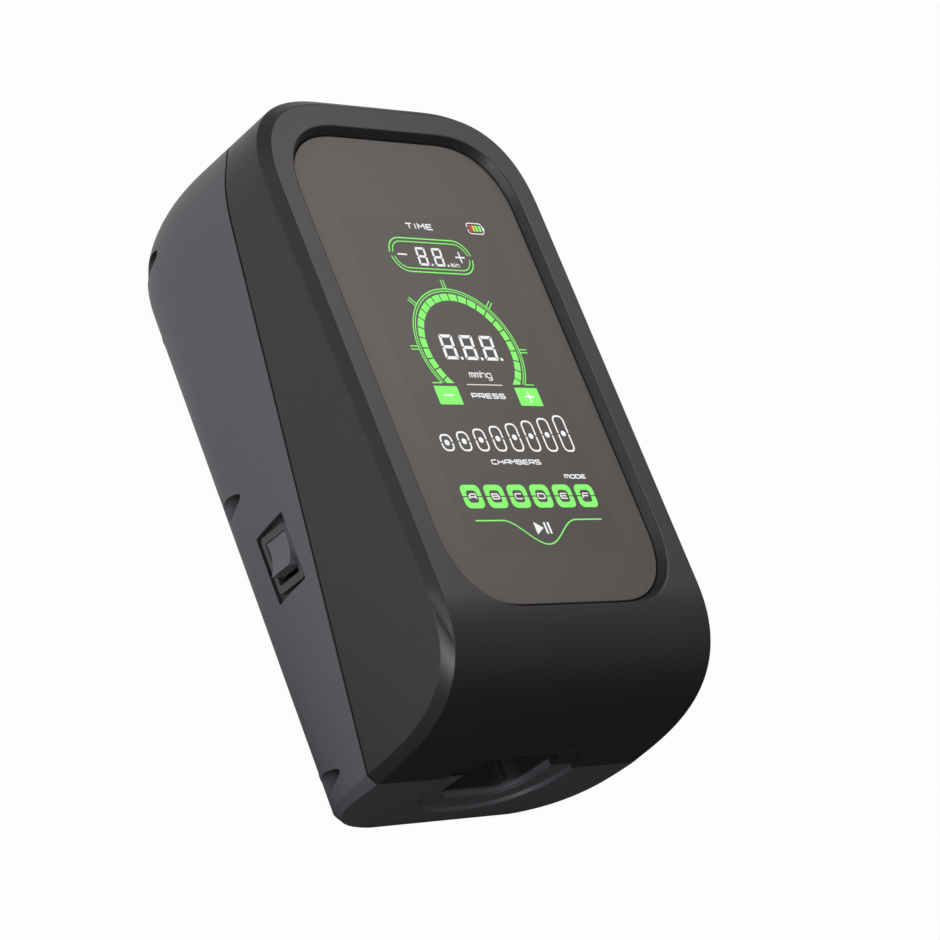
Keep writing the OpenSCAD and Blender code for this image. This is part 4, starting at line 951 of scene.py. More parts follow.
class PumpStage(bpy.types.Operator):
    """Floor, soft light and camera."""

    bl_idname = "pump.stage"
    bl_label = "Stage"

    CAMERA_PLACE = (-784.8, -286.2, 754.7)
    CAMERA_RIGHT = (0.70711, -0.34011, 0.61994)
    CAMERA_UP = (0.0, 0.87673, 0.48100)
    LENS, SENSOR = 135.0, 36.0
    MIDDLE = (0, 0, 0.04)
    WARM, COOL, PLAIN = (1.0, 0.92, 0.9), (0.93, 0.95, 1.0), (1.0, 1.0, 1.0)
    LAMPS = (("key", (0.6, 0.7, 1.3), 1.0, 8.6, WARM),
             ("left", (-1.4, -0.1, 0.5), 0.8, 7.6, COOL),
             ("edge", (-0.75, -0.65, 0.9), 0.3, 6.4, PLAIN),
             ("back", (-1.1, 0.9, 0.7), 0.8, 1.6, PLAIN))
    FLOOR_HALF, CLIP_END = 6.0, 20
    SKY_TOWARD, SKY_EDGE = (0.2, 0.42, 0.88), (-0.15, 0.85)
    SKY_LOW, SKY_HIGH = (0.03, 0.03, 0.03), (0.05, 0.05, 0.05)
    CARD_TOWARD, CARD_EDGE = (0.8, -0.6, 0), (-0.1, 0.05)
    PALE, CARD = (0.8, 0.8, 0.8), (0.05, 0.05, 0.05)
    SKY_GLOSS, FLOOR_GLOSS, FLOOR_WHITE = 0.3, 0.45, 0.97

    def execute(self, context):
        s = sizes()
        scene = context.scene
        scene.view_settings.view_transform = "Standard"
        self.camera(scene, s)
        self.floor(scene)
        self.world(scene)
        self.lamps(scene)
        return {"FINISHED"}

    def camera(self, scene, s):
        """The photograph's camera, solved from the screen's signs and the silhouette."""
        data = bpy.data.cameras.new("camera")
        data.lens = self.LENS
        data.sensor_width = self.SENSOR
        data.clip_end = self.CLIP_END
        camera = bpy.data.objects.new("camera", data)
        right, up = Vector(self.CAMERA_RIGHT), Vector(self.CAMERA_UP)
        back = right.cross(up)
        matrix = Matrix((right, up, back)).transposed().to_4x4()
        matrix.translation = Vector(in_row([self.CAMERA_PLACE], s)[0])
        camera.matrix_world = matrix
        scene.collection.objects.link(camera)
        scene.camera = camera

    def floor(self, scene):
        """A floor that is white to the camera and, toward the right front, dark to all other rays."""
        corners = rect(-self.FLOOR_HALF, self.FLOOR_HALF, -self.FLOOR_HALF, self.FLOOR_HALF)
        mesh = bpy.data.meshes.new("floor")
        mesh.from_pydata(along_z(corners, 0.0), [], [(0, 1, 2, 3)])
        floor = bpy.data.objects.new("floor", mesh)
        scene.collection.objects.link(floor)
        material, tree, shader = base_material("pale_floor")
        card = self.facing(tree, "Object", self.CARD_TOWARD, *self.CARD_EDGE)
        path = add(tree, "ShaderNodeLightPath").outputs
        seen = calc(tree, "MAXIMUM", path["Is Camera Ray"], path["Is Transmission Ray"])
        carded = calc(tree, "MULTIPLY", calc(tree, "SUBTRACT", 1.0, seen), card)
        tree.links.new(shade_between(tree, carded, self.PALE, self.CARD), shader.inputs["Base Color"])
        set_socket(shader, "Roughness", 0.9)
        set_socket(shader, "Specular IOR Level", 0.1)
        gloss = calc(tree, "MULTIPLY_ADD", card, -self.FLOOR_GLOSS, self.FLOOR_GLOSS)
        gloss = calc(tree, "MULTIPLY", gloss, path["Is Glossy Ray"])
        share = calc(tree, "MAXIMUM", gloss, calc(tree, "MULTIPLY", seen, self.FLOOR_WHITE))
        light = add(tree, "ShaderNodeEmission", in_Strength=1.0)
        mix = add(tree, "ShaderNodeMixShader")
        tree.links.new(share, mix.inputs["Fac"])
        tree.links.new(shader.outputs[0], mix.inputs[1])
        tree.links.new(light.outputs[0], mix.inputs[2])
        tree.links.new(mix.outputs[0], tree.nodes["Material Output"].inputs["Surface"])
        mesh.materials.append(material)

    def facing(self, tree, coordinates, toward, low, high):
        """0 to 1 by how far the place or direction lies toward the one given."""
        where = add(tree, "ShaderNodeTexCoord")
        along = add(tree, "ShaderNodeVectorMath", operation="DOT_PRODUCT")
        along.inputs[1].default_value = Vector(toward).normalized()
        tree.links.new(where.outputs[coordinates], along.inputs[0])
        level = add(tree, "ShaderNodeMapRange", interpolation_type="SMOOTHSTEP")
        level.inputs["From Min"].default_value = low
        level.inputs["From Max"].default_value = high
        tree.links.new(along.outputs["Value"], level.inputs["Value"])
        return level.outputs["Result"]

    def world(self, scene):
        """Weak soft light, strongest from the upper back, and a white background."""
        world = bpy.data.worlds.new("studio")
        world.use_nodes = True
        tree = world.node_tree
        tree.nodes.clear()
        level = self.facing(tree, "Generated", self.SKY_TOWARD, *self.SKY_EDGE)
        soft = add(tree, "ShaderNodeBackground")
        tree.links.new(shade_between(tree, level, self.SKY_LOW, self.SKY_HIGH), soft.inputs["Color"])
        white = add(tree, "ShaderNodeBackground", in_Color=(1, 1, 1, 1), in_Strength=1.0)
        path = add(tree, "ShaderNodeLightPath").outputs
        seen = calc(tree, "MAXIMUM", path["Is Camera Ray"], path["Is Transmission Ray"])
        gloss = calc(tree, "MULTIPLY", calc(tree, "MULTIPLY", level, self.SKY_GLOSS), path["Is Glossy Ray"])
        share = calc(tree, "MAXIMUM", seen, gloss)
        mix = add(tree, "ShaderNodeMixShader")
        tree.links.new(share, mix.inputs["Fac"])
        tree.links.new(soft.outputs[0], mix.inputs[1])
        tree.links.new(white.outputs[0], mix.inputs[2])
        out = add(tree, "ShaderNodeOutputWorld")
        tree.links.new(mix.outputs[0], out.inputs["Surface"])
        scene.world = world

    def lamps(self, scene):
        """Soft lamps that face the pump; each row is name, place, size, power and tint."""
        for name, place, size, power, tint in self.LAMPS:
            data = bpy.data.lights.new(name, "AREA")
            data.color = tint
            data.shape = "SQUARE"
            data.size = size
            data.energy = power
            lamp = bpy.data.objects.new(name, data)
            lamp.location = place
            aim = Vector(self.MIDDLE) - Vector(place)
            lamp.rotation_euler = aim.to_track_quat("-Z", "Y").to_euler()
            scene.collection.objects.link(lamp)


class PumpShells(bpy.types.Operator):
    """Front and rear shell with their recesses."""

    bl_idname = "pump.shells"
    bl_label = "Shells"

    def execute(self, context):
        s = sizes()
        colours = context.scene.pump_colours
        front = housing_form("front_housing", s)
        carve(front, parting_block("before", s, s.gap / 2, False), "INTERSECT")
        hollow = cavity(s, True)
        carve(front, hollow)
        cut_port(front, s)
        carve(front, window_block(s))
        carve(front, screen_cutter(s))
        smooth(front)
        # Painted shade darkens the front shell's colour in its holes, grooves and recesses.
        plastic = moulded("front_plastic", colours.front, roughness=(0.36, 0.42), vary=0.05,
                          painted_shade=0.8)
        dress(front, plastic, "front_plastic", "front_shell")

        rear = housing_form("rear_housing", s)
        carve(rear, parting_block("behind", s, -s.gap / 2, True), "INTERSECT")
        lip = housing_form("lip", s, s.gap_depth)
        carve(lip, parting_block("behind", s, s.gap / 2, True), "INTERSECT")
        carve(rear, lip, "UNION")
        carve(rear, cavity(s, False))
        cut_port(rear, s)
        self.side_cuts(rear, s)
        self.back_cuts(rear, s)
        smooth(rear)
        # Painted shade darkens the rear shell's colour in its notches, recesses and shadow gap.
        plastic = moulded("rear_plastic", colours.rear, roughness=(0.4, 0.48), vary=0.05,
                          painted_shade=0.9)
        dress(rear, plastic, "rear_plastic", "rear_shell")
        return {"FINISHED"}

    def side_cuts(self, rear, s):
        """Recess and hole of the switch on the left, of the charging inlet on the right."""
        rim, corner = 0.25, 0.8
        profile = [(0.0, -s.half - OUTSIDE)]
        profile += [(out - rim, -s.half + inn) for out, inn in fillet(rim, 3)]
        profile.append((-rim, -s.half + SWITCH_RECESS_D))
        loops = []
        for out, x in profile:
            outline = round_rect(SWITCH_RECESS_L + 2 * out, SWITCH_RECESS_H + 2 * out, corner + out)
            outline[:, 0] += outline[:, 1] * SWITCH_RECESS_LEAN / SWITCH_RECESS_H
            loops.append(along_x(outline, x, SWITCH_Y, SWITCH_Z - SWITCH_RECESS_DROP))
        carve(rear, loft("recess", loops, s))
        hole = round_rect(SWITCH_FRAME_L - 1.7, SWITCH_FRAME_H - 1.8, 0.2)
        ends = (-s.half - OUTSIDE, -s.half + 9)
        carve(rear, loft("hole", [along_x(hole, x, SWITCH_Y, SWITCH_Z) for x in ends], s))
        inlet_r, bore_r = 5.8, 4.0
        recess = [(s.half + OUTSIDE, inlet_r + 0.2)]
        recess += [(s.half - inn, inlet_r + out) for out, inn in fillet(0.3, 3)]
        recess.append((s.half - INLET_RECESS, inlet_r))
        carve(rear, lathe_x("recess", recess, INLET_Y, INLET_Z, s))
        bore = [(s.half + OUTSIDE, bore_r), (s.half - 20, bore_r)]
        carve(rear, lathe_x("hole", bore, INLET_Y, INLET_Z, s))

    def back_cuts(self, rear, s):
        """Screw holes, pockets of the feet and the air intake."""
        for x, y in SCREW_PLACES:
            carve(rear, rod_z("hole", x, y, SCREW_HOLE_R, BELOW, SCREW_SEAT_Z, s))
        for x, y in FOOT_PLACES:
            carve(rear, rod_z("pocket", x, y, FOOT_R + 0.1, BELOW, FOOT_SEAT, s, 64))
        slots, pitch, width, run, middle = 6, 4.2, 1.8, 16.0, 97.0
        reach = (run + width) / 2
        for i in range(slots):
            x = (i - (slots - 1) / 2) * pitch
            outline = capsule(x - width / 2, x + width / 2, middle - reach, middle + reach)
            carve(rear, loft("slot", [along_z(outline, z) for z in (-1, s.wall + 0.5)], s))


class PumpScreen(bpy.types.Operator):
    """Cover glass and the unlit area of the display."""

    bl_idname = "pump.screen"
    bl_label = "Glass"

    FINISH = {"roughness": (0.30, 0.34), "grain": 6000.0, "depth": 0.001, "vary": 0.015, "specular": 0.35}
    DISPLAY = (-37, 37, -79, 54)

    def execute(self, context):
        s = sizes()
        colours = context.scene.pump_colours
        edge = 0.3
        profile = [(-s.glass_thickness, 0.0), (-edge, 0.0)]
        profile += [(-edge + edge * math.sin(a), -edge * (1 - math.cos(a)))
                    for a in np.radians([22, 45, 67, 90])]
        glass = loft("cover_glass", [screen_loop(glass_outline(s, grow), z, s) for z, grow in profile], s)
        smooth(glass)
        dress(glass, moulded("tinted_glass", colours.glass, **self.FINISH), "screen_glass", "touch_glass")
        area = plates("display_area", [rect(*self.DISPLAY)], s, lift=0.005, thickness=0.01)
        dress(area, moulded("display_unlit", colours.display, **self.FINISH), "panel_black")
        return {"FINISHED"}


class PumpSigns(bpy.types.Operator):
    """Signs of the display: time, gauge, chambers, modes and play."""

    bl_idname = "pump.signs"
    bl_label = "Signs"

    def execute(self, context):
        s = sizes()
        colours = context.scene.pump_colours
        green = lit_sign("lit_green", colours.lit_green)
        white = lit_sign("lit_white", colours.lit_white)
        red = lit_sign("lit_red", colours.lit_red)
        yellow = lit_sign("lit_yellow", colours.lit_yellow)
        pieces = [
            ("gauge_ring", self.gauge(), green), ("time_frame", self.time_frame(), green),
            ("press_keys", self.press_keys(), green), ("mode_keys", self.mode_keys(), green),
            ("play_line", self.play_line(), green),
            ("battery_green", [self.bar(28.0), self.bar(29.6)], green),
            ("battery_red", [self.bar(25.0)], red),
            ("battery_yellow", [self.bar(26.5)], yellow),
            ("figures", self.figures(), white), ("words", self.words(), white),
            ("chamber_signs", self.chambers(), white), ("play_sign", self.play_sign(), white),
        ]
        for name, outlines, material in pieces:
            dress(plates(name, outlines, s), material, "panel_black")
        over, window_t, mark_t = SIGN_LIFT + SIGN_T, 0.01, 0.02
        windows = plates("mode_windows", self.mode_windows(), s, lift=over, thickness=window_t)
        dress(windows, bpy.data.materials["display_unlit"], "panel_black")
        marks = plates("key_marks", self.key_marks(), s, lift=over + window_t, thickness=mark_t)
        dress(marks, white, "panel_black")
        return {"FINISHED"}

    RING_FOOT = -13.75
    RING_INNER, RING_OUTER, RING_BLOCKS, RING_GAP = 19.75, 22.5, 32, 0.065
    TICK_HALF, TICK_WEIGHT = 0.62, 0.42
    MODE_Z = -57.9
    # Each row is the word, its two ends, foot, height, weight of stroke and gap in letter widths.
    WORDS = (("TIME", -6.5, 6.0, 49.05, 2.05, 0.5, 0.35), ("min", 8.0, 11.9, 33.8, 1.8, 0.3, 0.4),
             ("mmhg", -5.2, 5.2, -11.3, 2.6, 0.38, 0.35), ("PRESS", -8.1, 7.8, -19.4, 1.65, 0.48, 0.3),
             ("CHAMBERS", -11.6, 11.9, -45.4, 1.6, 0.42, 0.3), ("m", 21.1, 23.3, -50.95, 1.9, 0.4, 0.3),
             ("ODE", 24.0, 31.3, -50.95, 1.33, 0.4, 0.3))

    def gauge(self):
        """Ring of blocks cut off level at the bottom, two thin lines round it, double ticks."""
        out = []
        step = 360 / self.RING_BLOCKS
        for i in range(-4, 20):
            a0, a1 = (i + self.RING_GAP) * step, (i + 1 - self.RING_GAP) * step
            block = np.concatenate([arc(0, 0, self.RING_INNER, a0, a1, 6),
                                    arc(0, 0, self.RING_OUTER, a1, a0, 6)])
            block[:, 1] = np.maximum(block[:, 1], self.RING_FOOT)
            out.append(block)
        for r, w in ((23.5, 0.35), (24.45, 0.42)):
            low = math.degrees(math.asin(self.RING_FOOT / r))
            out.extend(ribbon(arc(0, 0, r, low, 180 - low, 90), w))
        for side in (-1, 1):
            out.extend(ribbon([(side * 20.1, self.RING_FOOT), (side * 24.7, self.RING_FOOT)], 0.4))
        for a in (0, 45, 90, 135, 180):
            along = np.array([math.cos(math.radians(a)), math.sin(math.radians(a))])
            across = np.array([-along[1], along[0]])
            for offset in (-self.TICK_HALF, self.TICK_HALF):
                tick = [along * r + across * offset for r in (24.4, 28.2)]
                out.extend(ribbon(tick, self.TICK_WEIGHT))
        return out

    def press_keys(self):
        """The two keys at the feet of the ring."""
        return [round_rect(11.0, 7.25, 0.35, 3) + [x, -18.6] for x in (-19.3, 19.7)]

    def time_frame(self):
        """Two capsules, one in the other, open at the middle of both ends."""
        out = []
        middle, open_half = 37.95, 0.8
        for x, r, w in ((19.7, 6.9, 0.48), (18.2, 5.45, 0.4)):
            gap = math.degrees(math.asin(open_half / r))
            top = np.concatenate([arc(x - r, middle, r, gap, 90, 12),
                                  arc(r - x, middle, r, 90, 180 - gap, 12)])
            out.extend(ribbon(top, w))
            out.extend(ribbon(top * [1, -1] + [0, 2 * middle], w))
        return out

    def bar(self, x):
        """A bar of the battery sign."""
        return rect(x, x + 1.1, 49.6, 52.0)

    def mode_centres(self):
        """Places of the six mode keys."""
        return [-27.5 + 11.03 * i for i in range(6)]

    def mode_keys(self):
        """The six keys of the modes."""
        return [round_rect(9.1, 9.0, 2.2) + [x, self.MODE_Z] for x in self.mode_centres()]

    def mode_windows(self):
        """The dark window of each key and the line that splits the key at its height."""
        out = []
        for x in self.mode_centres():
            out.append(round_rect(4.8, 4.7, 1.3) + [x, self.MODE_Z])
            for x0, x1 in ((-4.6, -2.3), (2.3, 4.6)):
                out.append(rect(x + x0, x + x1, self.MODE_Z - 0.22, self.MODE_Z + 0.22))
        return out

    def play_line(self):
        """A line that dips round the play sign."""
        t = np.linspace(0, 1, 25)
        left = np.stack([17.8 * (t - 1), -67.1 - 4.65 * (1 - np.cos(np.pi * t))], axis=1)
        right = (left * [-1, 1])[::-1][1:]
        return ribbon(np.concatenate([[(-30.6, -67.1)], left, right, [(30.6, -67.1)]]), 0.48)

    def figures(self):
        """The figures of pressure and time with their points, and the line under the unit."""
        out = []
        for i in range(3):
            x = -13.4 + 9.68 * i
            out.extend(digit_eight(x, x + 6.4, -4.2, 5.75, 1.25))
            out.append(dot(x + 7.95, -3.65, 0.66))
        for i in range(2):
            x = -7.4 + 7.8 * i
            out.extend(digit_eight(x, x + 4.7, 33.8, 41.3, 0.92))
            out.append(dot(x + 6.15, 34.25, 0.48))
        out.append(rect(-8.4, 8.8, -14.3, -14.0))
        return out

    def words(self):
        """All words, the battery's outline and the time's minus and plus."""
        out = []
        for row in self.WORDS:
            out += word(*row)
        out += self.battery()
        out.append(rect(-16.3, -11.8, 37.7, 38.3))
        out += self.cross(14.0, 38.0, 2.3)
        return out

    def battery(self):
        """Outline of the battery, open at its left, and its pole at the right."""
        w, h, r = 7.6, 4.4, 1.1
        ends = [(-w / 2, 0.45)], [(-w / 2, -0.45)]
        rounded = round_rect(w, h, r, 3)
        turned = np.concatenate([rounded[8:], rounded[:8]])[::-1]
        path = np.concatenate([ends[0], turned, ends[1]]) + [27.75, 50.75]
        return ribbon(path, 0.38) + [rect(31.75, 32.25, 50.0, 51.5)]

    def cross(self, x, y, reach, half_weight=0.31):
        """The two bars of a plus."""
        return [rect(x - reach, x + reach, y - half_weight, y + half_weight),
                rect(x - half_weight, x + half_weight, y - reach, y + reach)]

    def chambers(self):
        """Eight round-cornered frames that grow to the right, open at both sides of a dot."""
        out = []
        low, first, last, open_half = -40.15, -34.2, -26.2, 0.28
        for i in range(8):
            x = -29.2 + 8.36 * i
            top = first + (last - first) * i / 7
            mid = (low + top) / 2
            upper = round_rect(5.0, top - low, 1.9)[:14]
            upper = np.concatenate([[(2.5, open_half)], upper, [(-2.5, open_half)]])
            for flip in (1, -1):
                out.extend(ribbon(upper * [1, flip] + [x, mid], 0.7))
            out.append(dot(x, mid, 1.12, 20))
        return out

    def play_sign(self):
        """Triangle and two bars."""
        return [[(-3.6, -72.6), (0.3, -70.2), (-3.6, -67.8)], rect(1.0, 1.9, -72.4, -68.0),
                rect(2.8, 3.7, -72.4, -68.0)]

    def key_marks(self):
        """Minus and plus on the pressure keys and the letters on the mode keys."""
        out = [rect(-21.5, -17.1, -18.86, -18.24)] + self.cross(19.85, -18.55, 2.25)
        for letter, x in zip("ABCDEF", self.mode_centres()):
            out += word(letter, x - 1.55, x + 1.55, self.MODE_Z - 0.95, 1.9, 0.45)
        return out


class PumpSwitch(bpy.types.Operator):
    """Power switch: frame, body and rocker."""

    bl_idname = "pump.switch"
    bl_label = "Power switch"

    THROW = 14.0                                       # to each side of the middle, in degrees
    HALF, RISE, DIP, HEIGHT = 5.97, 5.0, 1.25, 9.3     # of the rocker
    GAP = 0.25                                         # round the rocker
    DEPTH = 17.0                                       # of the body

    def execute(self, context):
        s = sizes()
        throw = math.radians(self.THROW)
        face_x = -(s.half - SWITCH_RECESS_D + SWITCH_FRAME_T)
        pivot_x = face_x + self.RISE * math.cos(throw) - self.HALF * math.sin(throw)
        opening = self.HALF * math.cos(throw) + self.RISE * math.sin(throw) + self.GAP
        # Painted shade darkens the switch frame's colour in its recess and opening.
        plastic = moulded("switch_plastic", (0.05, 0.052, 0.056), roughness=(0.34, 0.42), grain=3200.0,
                          depth=0.01, painted_shade=0.85)
        edge = 0.35
        profile = [(face_x + edge - edge * math.cos(a), -edge + edge * math.sin(a))
                   for a in np.radians([0, 22, 45, 68, 90])]
        profile.append((face_x + SWITCH_FRAME_T, 0.0))
        loops = [along_x(round_rect(SWITCH_FRAME_L + 2 * grow, SWITCH_FRAME_H + 2 * grow, 1.6 + grow), x,
                         SWITCH_Y, SWITCH_Z) for x, grow in profile]
        body = loft("switch_frame", loops, s)
        inner = round_rect(SWITCH_FRAME_L - 1.9, SWITCH_FRAME_H - 2, 0.2)
        carve(body, loft("box", [along_x(inner, x, SWITCH_Y, SWITCH_Z)
                                 for x in (face_x + 1, face_x + self.DEPTH)], s), "UNION")
        hole = round_rect(2 * opening, self.HEIGHT + 2 * self.GAP, 0.3, 3)
        ends = (face_x - 1, pivot_x + 4.5)
        carve(body, loft("hole", [along_x(hole, x, SWITCH_Y, SWITCH_Z) for x in ends], s))
        smooth(body)
        dress(body, plastic, "switch_plastic", "switch_body")

        rocker = self.rocker(s, pivot_x)
        sheen = moulded("rocker_plastic", (0.1, 0.103, 0.112), roughness=(0.22, 0.28), grain=3200.0,
                        depth=0.006, specular=0.6)
        dress(rocker, sheen, "switch_plastic", "switch_rocker", body="rocker")
        return {"FINISHED"}

    def rocker(self, s, pivot_x):
        """The side view is an arc that dips in the middle; it is turned to one end of its throw."""
        r = (self.HALF**2 + self.DIP**2) / (2 * self.DIP)
        half_angle = math.asin(self.HALF / r)
        face = [(r * math.sin(a), self.RISE - self.DIP + r * (1 - math.cos(a)))
                for a in np.linspace(-half_angle, half_angle, 25)]
        profile = face + [(self.HALF - 1.3, -0.2), (2, -2.2), (-2, -2.2), (-self.HALF + 1.3, -0.2)]
        turn = math.radians(-self.THROW)
        loop = []
        for along, out in profile:
            x, y = -out, along
            loop.append((pivot_x + x * math.cos(turn) - y * math.sin(turn),
                         SWITCH_Y + x * math.sin(turn) + y * math.cos(turn)))
        ends = (SWITCH_Z - self.HEIGHT / 2, SWITCH_Z + self.HEIGHT / 2)
        piece = loft("rocker", [along_z(loop, z) for z in ends], s)
        bevel(piece, 0.3, 3, 35)
        smooth(piece, 40)
        return piece


class PumpSocket(bpy.types.Operator):
    """Hose socket with its nipples and ribs."""

    bl_idname = "pump.socket"
    bl_label = "Hose socket"

    def execute(self, context):
        s = sizes()
        plastic = moulded("socket_plastic", (0.018, 0.018, 0.019), roughness=(0.3, 0.4), grain=3000.0,
                          depth=0.01)
        inner_w, inner_h, inner_r = MOUTH_W - 1.6, MOUTH_H - 1.6, MOUTH_R - 0.8
        skin = 2 * SOCKET_SKIN
        flange_y = PORT_WALL + SEAL_T
        back = SOCKET_DEPTH + 2.5
        piece = slab_y("socket_insert", inner_w + skin, inner_h + skin, inner_r + SOCKET_SKIN,
                       PORT_WALL, back, s)
        carve(piece, slab_y("flange", FLANGE_W, FLANGE_H, 10, flange_y, flange_y + FLANGE_T, s), "UNION")
        rim = 0.3
        profile = [(rim, 0.0)] + [(out, PORT_WALL + inn) for out, inn in fillet(rim, 3)]
        profile += [(0.0, 15.0), (-0.25, SOCKET_DEPTH - 1), (-1.0, SOCKET_DEPTH)]
        loops = [along_y(round_rect(inner_w + 2 * out, inner_h + 2 * out, inner_r + out), y, MOUTH_Z)
                 for out, y in profile]
        carve(piece, loft("hollow", loops, s))
        for side in (-1, 1):
            carve(piece, self.rib(side, s), "UNION")
        nipples = [(x, z) for x in (-12, -4, 4, 12) for z in (26.5, 37.5)]
        for x, z in nipples:
            carve(piece, lathe_y("bore", [(0, 1.2), (60, 1.2)], x, z, s, 28))
        smooth(piece)
        dress(piece, plastic, "socket_plastic", "hose_socket")
        pale = moulded("nipple_plastic", (0.42, 0.42, 0.41), roughness=(0.3, 0.4), depth=0.005)
        for i, (x, z) in enumerate(nipples):
            nipple = self.nipple(x, z, s)
            smooth(nipple, 40)
            nipple.name = f"air_nipple_{i + 1}"
            dress(nipple, pale, "white_plastic")
        return {"FINISHED"}

    def nipple(self, x, z, s):
        """A barbed nipple with its bore: rounded tip, barb and neck in front, a plain stub behind."""
        tip, end = SOCKET_DEPTH - 9, SOCKET_DEPTH + 8
        bore, neck, barb = 1.2, 1.8, 2.0
        profile = [(end, bore), (tip + 0.1, bore), (tip, 1.3), (tip, 1.45), (tip + 0.15, 1.62),
                   (tip + 1.6, barb), (tip + 1.9, barb), (tip + 2.0, neck), (tip + 4.0, neck),
                   (tip + 8.0, barb), (end, barb)]
        return lathe_y("nipple", profile, x, z, s)

    def rib(self, side, s):
        """A guide rib on the socket's back-side wall, flat faced with soft edges."""
        low = MOUTH_Z - (MOUTH_H - 1.6) / 2 + 0.6
        half_w, height, soft = 1.5, 3.9, 0.5
        corner = fillet(soft, 4)
        outline = [(half_w, 0.0)] + [(half_w - inn, height - out) for out, inn in reversed(corner)]
        outline += [(-half_w + inn, height - out) for out, inn in corner] + [(-half_w, 0.0)]
        loops = []
        for out, inn in fillet(0.4, 3):
            loops.append([(px * (half_w - out) / half_w, PORT_WALL + 1 + inn, pz * (height - out) / height)
                          for px, pz in outline])
        loops.append([(px, SOCKET_DEPTH + 1, pz) for px, pz in outline])
        return loft("rib", [[(side * 12.4 + x, y, low + z) for x, y, z in loop] for loop in loops], s)


class PumpSmallParts(bpy.types.Operator):
    """Feet and charging inlet."""

    bl_idname = "pump.small_parts"
    bl_label = "Feet and inlet"

    def execute(self, context):
        s = sizes()
        rubber = moulded("black_rubber", (0.022, 0.022, 0.022), roughness=(0.62, 0.75), grain=2000.0,
                         depth=0.03, specular=0.3)
        for i, (x, y) in enumerate(FOOT_PLACES):
            low = -s.foot_height
            profile = [(low, FOOT_R - 2.4), (low, FOOT_R - 1.2), (low + 0.06, FOOT_R - 0.8),
                       (low + 0.3, FOOT_R - 0.3), (low + 0.7, FOOT_R - 0.05), (low + 1.1, FOOT_R),
                       (FOOT_SEAT - 0.02, FOOT_R)]
            foot = lathe_z(f"foot_{i + 1}", profile, x, y, s)
            smooth(foot, 40)
            dress(foot, rubber, "black_rubber", *(["rubber_feet"] if i == 0 else []))
        self.inlet(s)
        return {"FINISHED"}

    def inlet(self, s):
        """Barrel inlet with its flange, bore and pin."""
        face = s.half - 0.4
        plastic = moulded("inlet_plastic", (0.02, 0.02, 0.021), roughness=(0.3, 0.4), depth=0.01)
        seat, barrel, bore, pin_r = s.half - INLET_RECESS, 3.9, 2.8, 1.0
        profile = [(face - 13, 2.9), (face - 13, barrel), (seat, barrel), (seat, 5.5), (face - 0.25, 5.6),
                   (face - 0.07, 5.5), (face, 5.3), (face, 3.1), (face - 0.25, 2.85), (face - 9.5, bore),
                   (face - 9.5, pin_r)]
        piece = lathe_x("inlet_ring", profile, INLET_Y, INLET_Z, s)
        smooth(piece)
        dress(piece, plastic, "socket_plastic", "charge_inlet")
        profile = [(face - 9.7, pin_r), (face - 4.9, pin_r), (face - 4.7, 0.92), (face - 4.6, 0.7)]
        pin = lathe_x("inlet_pin", profile, INLET_Y, INLET_Z, s, 32)
        smooth(pin)
        dress(pin, metal("pin_metal", (0.75, 0.72, 0.65)), "tinned_brass")


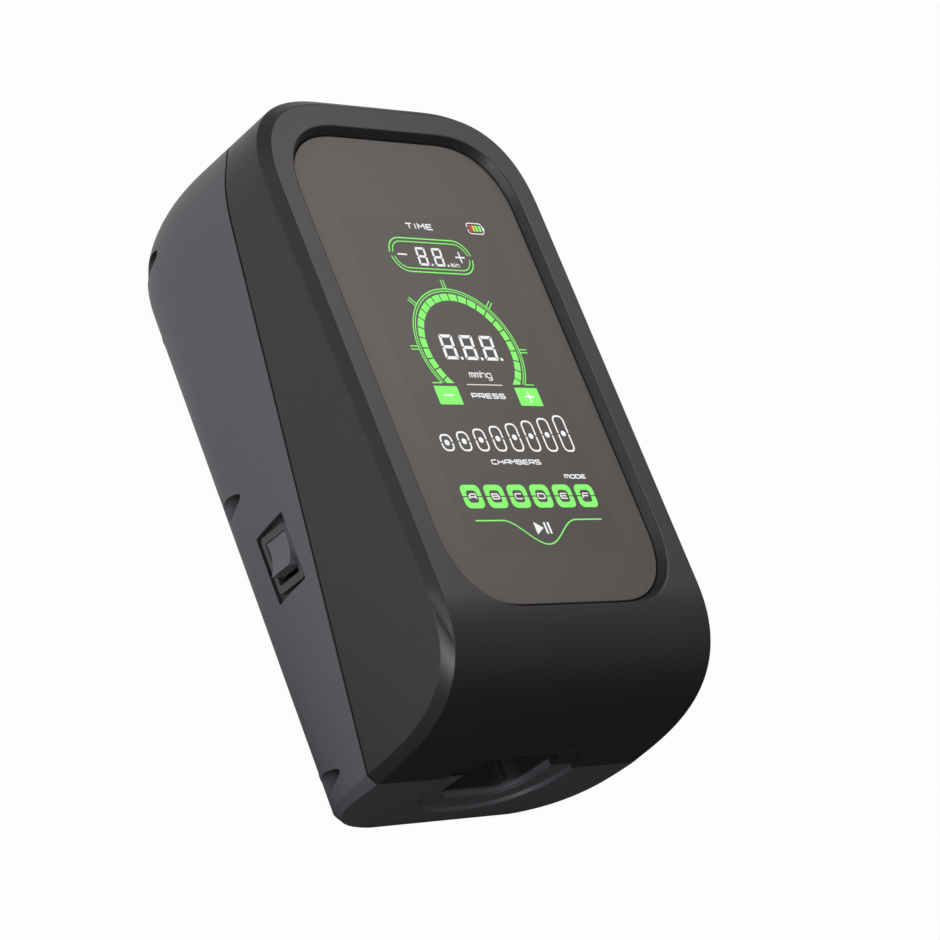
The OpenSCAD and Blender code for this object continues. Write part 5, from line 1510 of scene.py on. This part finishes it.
class PumpInside(bpy.types.Operator):
    """Finishes of the construction pieces that keep their own shape."""

    bl_idname = "pump.inside"
    bl_label = "Inner finishes"

    def execute(self, context):
        finishes = {
            "panel_black": moulded("panel_finish", (0.03, 0.03, 0.03), roughness=(0.15, 0.25)),
            "sheet_steel": metal("sheet_steel", (0.62, 0.63, 0.65)),
            "flex_film": moulded("flex_film", (0.5, 0.26, 0.07), roughness=(0.25, 0.35), depth=0.005),
            "board_green": moulded("board_green", (0.02, 0.14, 0.07), roughness=(0.3, 0.45), vary=0.2),
            "chip_black": moulded("chip_black", (0.02, 0.02, 0.02), roughness=(0.5, 0.65), grain=4000.0),
            "white_plastic": moulded("white_plastic", (0.7, 0.7, 0.66), roughness=(0.35, 0.5)),
            "cell_wrap": moulded("cell_wrap", (0.04, 0.14, 0.36), roughness=(0.2, 0.3), depth=0.004),
            "inner_plastic": moulded("inner_plastic", (0.05, 0.05, 0.055), roughness=(0.45, 0.6)),
            "motor_steel": metal("motor_steel", (0.6, 0.6, 0.62), lines=500.0),
            "grey_foam": moulded("grey_foam", (0.1, 0.1, 0.1), roughness=(0.85, 0.95), grain=1400.0,
                                 depth=0.3),
            "manifold_aluminium": metal("manifold_aluminium", (0.7, 0.71, 0.73), lines=700.0),
            "valve_steel": metal("valve_steel", (0.68, 0.66, 0.6)),
            "silicone_tube": moulded("silicone_tube", (0.62, 0.64, 0.62), roughness=(0.3, 0.45)),
            "tinned_brass": metal("tinned_brass", (0.75, 0.6, 0.35)),
            "screw_steel": metal("screw_steel", (0.1, 0.1, 0.105), lines=1200.0),
            "black_rubber": moulded("inner_rubber", (0.025, 0.025, 0.025), roughness=(0.6, 0.75)),
        }
        slots = {row["node"]: row["material_slot"] for row in frame["record"]["subparts"]}
        for node, obj in frame["nodes"].items():
            material = finishes.get(slots[node])
            if material is None:
                continue
            obj.data.materials.clear()
            obj.data.materials.append(material)
        return {"FINISHED"}


class PumpPanel(bpy.types.Panel):
    """Sidebar panel of the pump's builders."""

    bl_idname = "VIEW3D_PT_pump"
    bl_label = "Compression pump"
    bl_space_type = "VIEW_3D"
    bl_region_type = "UI"
    bl_category = "Pump"

    def draw(self, context):
        column = self.layout.column()
        for operator in OPERATORS:
            column.operator(operator.bl_idname)
        for group in (context.scene.pump_housing, context.scene.pump_screen, context.scene.pump_colours):
            section = self.layout.box()
            for key in group.bl_rna.properties.keys():
                if key not in ("rna_type", "name"):
                    section.prop(group, key)


OPERATORS = (PumpStage, PumpShells, PumpScreen, PumpSigns, PumpSwitch, PumpSocket, PumpSmallParts,
             PumpInside)
GROUPS = (PumpHousingSizes, PumpScreenSizes, PumpColours)


def register():
    for cls in GROUPS + OPERATORS + (PumpPanel,):
        bpy.utils.register_class(cls)
    bpy.types.Scene.pump_housing = bpy.props.PointerProperty(type=PumpHousingSizes)
    bpy.types.Scene.pump_screen = bpy.props.PointerProperty(type=PumpScreenSizes)
    bpy.types.Scene.pump_colours = bpy.props.PointerProperty(type=PumpColours)


def unregister():
    del bpy.types.Scene.pump_housing
    del bpy.types.Scene.pump_screen
    del bpy.types.Scene.pump_colours
    for cls in reversed(GROUPS + OPERATORS + (PumpPanel,)):
        bpy.utils.unregister_class(cls)


def main():
    register()
    bpy.ops.pump.stage()
    bpy.ops.pump.shells()
    bpy.ops.pump.screen()
    bpy.ops.pump.signs()
    bpy.ops.pump.switch()
    bpy.ops.pump.socket()
    bpy.ops.pump.small_parts()
    bpy.ops.pump.inside()


if __name__ == "__main__":
    main()
